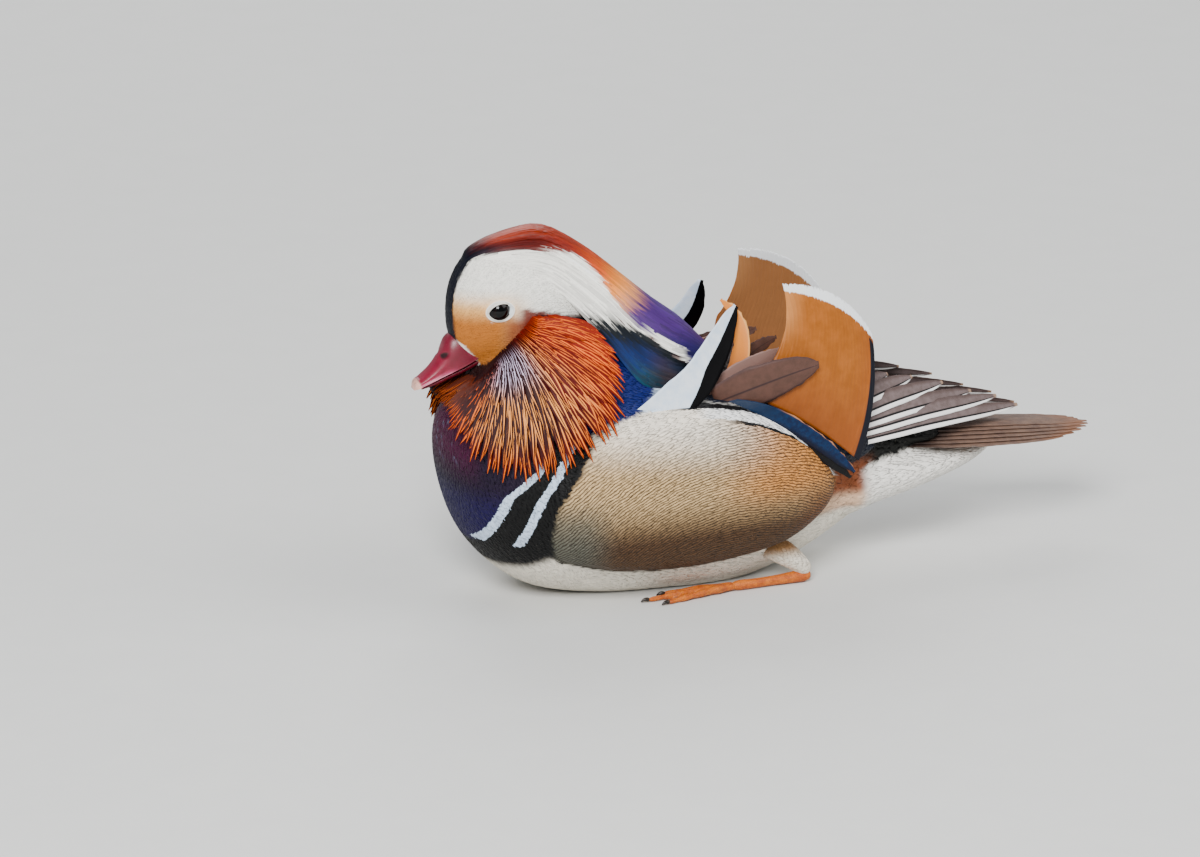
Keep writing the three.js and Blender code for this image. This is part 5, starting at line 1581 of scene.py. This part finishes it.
def feather_template():
    """A feather one unit long and one wide to each side, with its root sunk and its tip raised."""
    points, across = [(0, 0, -0.3)], [0]
    for x, half, height in ((0.25, 0.8, 0.02), (0.6, 1.0, 0.16), (0.86, 0.7, 0.24)):
        edge = height - 0.04
        points += [(x, -half, edge), (x, 0, height + 0.06), (x, half, edge), (x, 0, height - 0.1)]
        across += [-1, 0, 1, 0]
    points.append((1, 0, 0.26))
    across.append(0)
    faces = []
    for k, n in ((0, 1), (1, 2), (2, 3), (3, 0)):
        faces += [(0, 1 + k, 1 + n), (13, 9 + n, 9 + k)]
        faces += [(row + k, row + 4 + k, row + 4 + n, row + n) for row in (1, 5)]
    points = np.array(points) * np.array([1, 1, MM])
    mesh = bpy.data.meshes.new("feather_template")
    mesh.from_pydata(points.tolist(), [], faces)
    for name, values in (("across", across), ("along", points[:, 0]), ("height", points[:, 2])):
        set_attribute(mesh, name, "FLOAT", values)
    return piece("feather_template", mesh)


def coat_tree():
    """Feathers set over one zone of the skin, bent to it, in the colours of the markings under them."""
    tree = Former(
        "set_feathers", Zone="Float", Spacing="Float", Long="Float", Broad="Float", Relief="Float",
        Feather="Object",
    )
    ground, relief = tree.given("Geometry"), tree.given("Relief")

    def chance(low, high, seed):
        settings = {"data_type": "FLOAT"}
        return tree.node("FunctionNodeRandomValue", 1, settings, i2=low, i3=high, Seed=seed)

    def chance_way(most, seed):
        settings = {"data_type": "FLOAT_VECTOR"}
        return tree.node("FunctionNodeRandomValue", 0, settings, i0=(-most,) * 3, i1=(most,) * 3, Seed=seed)

    def under(kind, value, spot):
        settings = {"data_type": kind}
        return tree.node(
            "GeometryNodeSampleNearestSurface", 0, settings, Mesh=ground, Value=value, Sample_Position=spot,
        )

    points = tree.node(
        "GeometryNodeDistributePointsOnFaces", "Points", {"distribute_method": "POISSON"}, Mesh=ground,
        Selection=tree.compared("EQUAL", tree.named("zone"), tree.given("Zone"), Epsilon=0.1),
        Distance_Min=tree.given("Spacing"), Density_Max=900000.0, Seed=4,
    )
    turned = tree.node(
        "FunctionNodeAxesToRotation", 0, {"primary_axis": "Z", "secondary_axis": "X"},
        Primary_Axis=points.beside("Normal"),
        Secondary_Axis=tree.vector("ADD", tree.named("lie", "FLOAT_VECTOR"), chance_way(0.13, 5)),
    )
    size = chance(0.8, 1.15, 6) * tree.named("size")
    scale = tree.combined(size * tree.given("Long"), size * tree.given("Broad"), relief)
    points = tree.store(points, "root_uv", "FLOAT_VECTOR", tree.named("OFBake", "FLOAT_VECTOR"))
    points = tree.store(points, "shading", "FLOAT", chance(0.93, 1.04, 8))
    points = tree.store(points, "shift", "FLOAT_VECTOR", chance_way(0.0004, 9))
    placed = tree.node(
        "GeometryNodeInstanceOnPoints", Points=points, Instance=tree.mesh_in("Feather"), Rotation=turned,
        Scale=scale,
    )
    shape = tree.node("GeometryNodeRealizeInstances", i0=placed)
    place = tree.node("GeometryNodeInputPosition")
    below = under("FLOAT_VECTOR", place, place)
    outward = under("FLOAT_VECTOR", tree.node("GeometryNodeInputNormal"), place)
    laid = tree.vector("ADD", below, tree.scaled(outward, tree.named("height") * relief))
    shape = tree.node("GeometryNodeSetPosition", Geometry=shape, Position=laid)
    spot = tree.vector("ADD", place, tree.named("shift", "FLOAT_VECTOR"))
    tint = tree.scaled(under("FLOAT_COLOR", tree.named("tint", "FLOAT_COLOR"), spot), tree.named("shading"))
    shape = tree.store(shape, "tint", "FLOAT_COLOR", tint)
    for name, kind in (("waves", "FLOAT"), ("lines", "FLOAT_VECTOR")):
        shape = tree.store(shape, name, kind, under(kind, tree.named(name, kind), spot))
    lifted = tree.vector("MAXIMUM", place, (-1, -1, FLOOR_CLEARANCE * MM))
    return tree.close(tree.node("GeometryNodeSetPosition", Geometry=shape, Position=lifted))


def set_growth(mesh, size, lie, face_zone):
    """Writes how large the feathers are and how they lie at each point, and the zone of each face."""
    set_attribute(mesh, "size", "FLOAT", size)
    set_attribute(mesh, "lie", "FLOAT_VECTOR", lie)
    set_attribute(mesh, "zone", "FLOAT", face_zone, "FACE")


def grow_coat(name, mesh, zone, spacing, long, broad, relief, slot):
    """The feathers over one zone of a mesh."""
    coat = apply_tree(
        piece(f"coat_{name}", mesh.copy()), coat_nodes, Zone=float(zone), Spacing=spacing * MM,
        Long=long * MM, Broad=broad * MM, Relief=relief, Feather=template, Finish=plumage_material,
    )
    fasten(coat, slot)


def seen_from_side(points, spot):
    """How far points lie from a spot, seen from the side."""
    return np.hypot(points[:, 0] - spot[0], points[:, 2] - spot[-1])


middles = np.zeros(len(skin_mesh.polygons) * 3, np.float32)
skin_mesh.polygons.foreach_get("center", middles)
middles = middles.reshape(-1, 3).astype(float) / MM
face_zone = zone_of(middles)
at_eye = (around_eye(middles) < 1.14) & (abs(middles[:, 1]) > 10)
under_bill_line = middles[:, 2] - on_line(middles[:, 0], BILL_FEATHERS) < -0.8
at_bill = under_bill_line & (middles[:, 0] < -97) & (middles[:, 2] > 113)
face_zone[at_eye | at_bill] = BARE
near_eye = soft(9, 22, seen_from_side(skin_points, EYE_AT))
near_bill = soft(4, 24, seen_from_side(skin_points, (-108, 127)))
size = 0.72 + 0.28 * np.minimum(near_eye, near_bill)
set_growth(skin_mesh, size, lie_of(skin_points, zone_of(skin_points)), face_zone)
coat_nodes = coat_tree()
template = feather_template()
for name, row in ZONES.items():
    grow_coat(name, skin_mesh, *row)


# Legs and feet: scaly shanks that lie back along the belly, and three webbed toes that point forward.
# Each ends in a dark claw, and a small hind toe stands behind. The thigh is feathered like the belly.
THIGH = [(36, -33, 21), (48, -35, 13), (57, -36, 5)]
THIGH_RADII = [7, 5.5, 3.4]
SHANK = [(58, -36, 3.6), (48, -36.4, 3.1), (38, -37, 2.8), (28, -37.6, 2.7), (17, -38, 2.7)]
SHANK_RADII = [3.3, 2.7, 2.3, 2.3, 2.6]
FOOT_AT = np.array([19, -38, 2.6])
TOE_TIPS = [(-16, -34.5, 1.3), (-26, -40.5, 1.3), (-18, -47, 1.3)]
TOE_JOINTS = [2, 3, 4]
TOE_HALF = 2.1
HIND_TOE = [(20, -38, 2.2), (25, -34, 1.9), (29.5, -31, 1.6)]
HIND_RADII = [1.7, 1.4, 1.1]
CLAW_LONG = 4.2
CLAW_RADII = np.array([1.05, 0.95, 0.7, 0.3])
WEB_THICK = 0.8
FOOT_VOXEL = 0.42
THIGH_VOXEL = 0.8
THIGH_FEATHERS = (0, 1.4, 8, 1.8, 0.6, "body_feathers")  # as in the table of zones


def tube(path, radii, rings=40, sides=20):
    """A rounded tube along a path, with its radii given at equal steps of it, and round ends."""
    share = (1 - np.cos(np.linspace(0, math.pi, rings))) / 2
    middle = through(path, share)
    along = unit(np.gradient(middle, axis=0))
    side = unit(np.cross(along, [0, 0, 1.0]))[:, None]
    over_it = np.cross(side[:, 0], along)[:, None]
    radius = np.interp(share, np.linspace(0, 1, len(radii)), radii)
    radius = (radius * np.sqrt(np.clip(1 - abs(2 * share - 1) ** 12, 0.02, 1)))[:, None, None]
    turn = (np.arange(sides) / sides * 2 * math.pi)[None, :, None]
    grid = middle[:, None] + radius * (side * np.cos(turn) + over_it * np.sin(turn))
    return grid.reshape(-1, 3), wrapped(rings, sides, flat_ends=True)


def toe(number):
    """A toe with a knuckle at each joint and a pad at its end."""
    steps = np.linspace(0, 1, 24)
    path = FOOT_AT + (np.array(TOE_TIPS[number], float) - FOOT_AT) * steps[:, None]
    path[:, 2] += 0.5 * np.sin(math.pi * steps)
    knuckles = 0.22 * np.cos(steps * TOE_JOINTS[number] * 2 * math.pi)
    return tube(path, TOE_HALF - 0.9 * steps + knuckles, rings=60)


def web(number):
    """The skin between two toes, scalloped at its front edge."""
    one, other = (np.array(TOE_TIPS[number + k], float) for k in (0, 1))
    u = np.linspace(0, 1, 24)[None, :, None]
    t = np.linspace(0.05, 0.88, 24)[:, None, None] * (1 - 0.14 * 4 * u * (1 - u))
    grid = FOOT_AT + (one + (other - one) * u - FOOT_AT) * t
    grid[..., 2] = 1.0 + 0.12 * np.sin(grid[..., 0] * 0.9)
    return sheet_of(grid, WEB_THICK, np.zeros(grid.shape[:2] + (2,)))[:2]


def claw(tip, away, size=1.0):
    """A short curved claw at the end of a toe."""
    away = unit(np.array(away, float))
    t = np.linspace(0, 1, 8)[:, None]
    path = tip + away * (CLAW_LONG * size * t - 0.6)
    path[:, 2:] += 0.7 * size * np.sin(math.pi * t) - 0.45 * t
    return tube(path, size * CLAW_RADII, rings=24, sides=14)


def over_floor(mesh):
    """Lifts what would lie in the floor, and gives the mesh's points."""
    points = vertex_array(mesh)
    points[:, 2] = np.maximum(points[:, 2], FLOOR_CLEARANCE)
    place_points(mesh, points)
    return points


def between_toes(points, side):
    """1 on the webs and 0 on the toes."""
    from_foot = points * [1, side, 1] - FOOT_AT
    from_toes = np.full(len(points), 9.0)
    for tip in TOE_TIPS:
        reach = np.array(tip) - FOOT_AT
        t = np.clip(from_foot @ reach / (reach @ reach), 0, 1)
        from_toes = np.minimum(from_toes, np.linalg.norm((from_foot - t[:, None] * reach)[:, :2], axis=1))
    return soft(1.6, 2.4, from_toes) * (points[:, 0] < 15)


def foot_finish():
    """Orange skin with small scales, darker and finely creased on the webs."""
    shade = Shade("foot_skin", Roughness=0.5, Subsurface_Weight=0.08, Subsurface_Scale=0.002)
    distance = {"feature": "DISTANCE_TO_EDGE"}
    scales = shade.node("ShaderNodeTexVoronoi", 0, distance, Vector=shade.place(), Scale=900.0)
    grain = shade.noise(300, detail=4)
    shade.bump(scales.step(0.0, 0.2) + grain * 0.3, 0.5, 0.0003)
    return shade.finish(
        "d07f2c",
        ("b5641c", grain.step(0.35, 0.65)),
        ("5e4a3a", shade.attribute("web") * 0.85),
        ("6e3a12", scales.step(0.12, 0.02) * 0.4),
    )


def claw_finish():
    shade = Shade("claws", Roughness=0.35)
    return shade.finish("1c1510", ("3a2c20", shade.noise(600).step(0.4, 0.7)))


foot_material = foot_finish()
claw_material = claw_finish()
foot_parts = [toe(k) for k in range(3)] + [web(0), web(1), tube(HIND_TOE, HIND_RADII)]
nails = [claw(tip, tip - FOOT_AT) for tip in TOE_TIPS] + [claw(HIND_TOE[-1], (1, 0.7, -0.1), 0.7)]
shank_parts = [tube(SHANK, SHANK_RADII)]
for side, word in SIDES:
    for name, solid, parts in (("foot_skin", "foot", foot_parts), ("shank_skin", "leg", shank_parts)):
        limb = fused(f"{name}_{word}", [on_side(part, side) for part in parts], FOOT_VOXEL, 3)
        points = over_floor(limb.data)
        set_attribute(limb.data, "web", "FLOAT", between_toes(points, side) * (solid == "foot"))
        limb.data.materials.append(foot_material)
        fasten(limb, "feet", f"{solid}_{word}")
    claws = piece(f"claws_{word}", mesh_of(f"claws_{word}", *on_side(join(nails), side)), claw_material)
    over_floor(claws.data)
    fasten(claws, "feet")
    thigh = fused(f"thigh_{word}", [on_side(tube(THIGH, THIGH_RADII), side)], THIGH_VOXEL, 4)
    points = over_floor(thigh.data)
    count = len(points)
    set_markings(thigh.data, painted("e4ddd0", count, ("8a6a48", soft(12, 20, points[:, 2]))))
    thigh.data.materials.append(plumage_material)
    fasten(thigh, "body_feathers", f"leg_{word}")
    down_the_leg = unit(np.array([21.0, -3 * side, -16]))
    no_zones = np.zeros(len(thigh.data.polygons))
    set_growth(thigh.data, np.full(count, 0.55), np.tile(down_the_leg, (count, 1)), no_zones)
    add_uv(thigh.data, "OFBake", np.full((count, 2), 0.5))
    grow_coat(f"thigh_{word}", thigh.data, *THIGH_FEATHERS)
bpy.data.objects.remove(template)


# Stage: a plain pale floor and soft studio light, seen from the bird's left and a little above.
# Three soft lamps stand round it: a strong one before it, and two weaker ones at the tail and behind.
LOOK_AT = Vector((-0.0361, 0, 0.0756))
LOOK_BACK = Vector((-0.3096, -0.8992, 0.3090))
LOOK_FROM = 3.97
FLOOR_HALF = 3000
# Lamps: where each stands, its size and its power
LAMPS = [((-1.0, -1.9, 1.7), 1.0, 105), ((1.4, -0.8, 1.6), 1.5, 24), ((0.3, 1.8, 1.6), 1.5, 34)]
SKY = (0.9, 0.95, 1, 1)
SKY_STRENGTH = 0.38


def floor_finish():
    shade = Shade("floor", Roughness=0.75, Specular_IOR_Level=0.2)
    return shade.finish("d9d9d7", ("dededc", shade.noise(40)))


corners = [(FLOOR_HALF * x, FLOOR_HALF * y, 0) for x, y in ((-1, -1), (1, -1), (1, 1), (-1, 1))]
piece("floor", mesh_of("floor", corners, [(0, 1, 2, 3)]), floor_finish())
for number, (spot, size, power) in enumerate(LAMPS):
    lamp = bpy.data.objects.new(f"lamp_{number}", bpy.data.lights.new(f"lamp_{number}", "AREA"))
    lamp.data.energy = power
    lamp.data.size = size
    lamp.location = spot
    lamp.rotation_euler = (Vector(spot) - LOOK_AT).to_track_quat("Z", "Y").to_euler()
    bpy.context.scene.collection.objects.link(lamp)
sky = bpy.data.worlds.new("sky")
sky.use_nodes = True
sky.node_tree.nodes["Background"].inputs["Color"].default_value = SKY
sky.node_tree.nodes["Background"].inputs["Strength"].default_value = SKY_STRENGTH
bpy.context.scene.world = sky
camera = bpy.data.objects.new("camera", bpy.data.cameras.new("camera"))
camera.data.lens = 250
camera.data.sensor_width = 36
camera.data.clip_end = 50
camera.location = LOOK_AT + LOOK_BACK * LOOK_FROM
camera.rotation_euler = LOOK_BACK.to_track_quat("Z", "Y").to_euler()
bpy.context.scene.collection.objects.link(camera)
bpy.context.scene.camera = camera
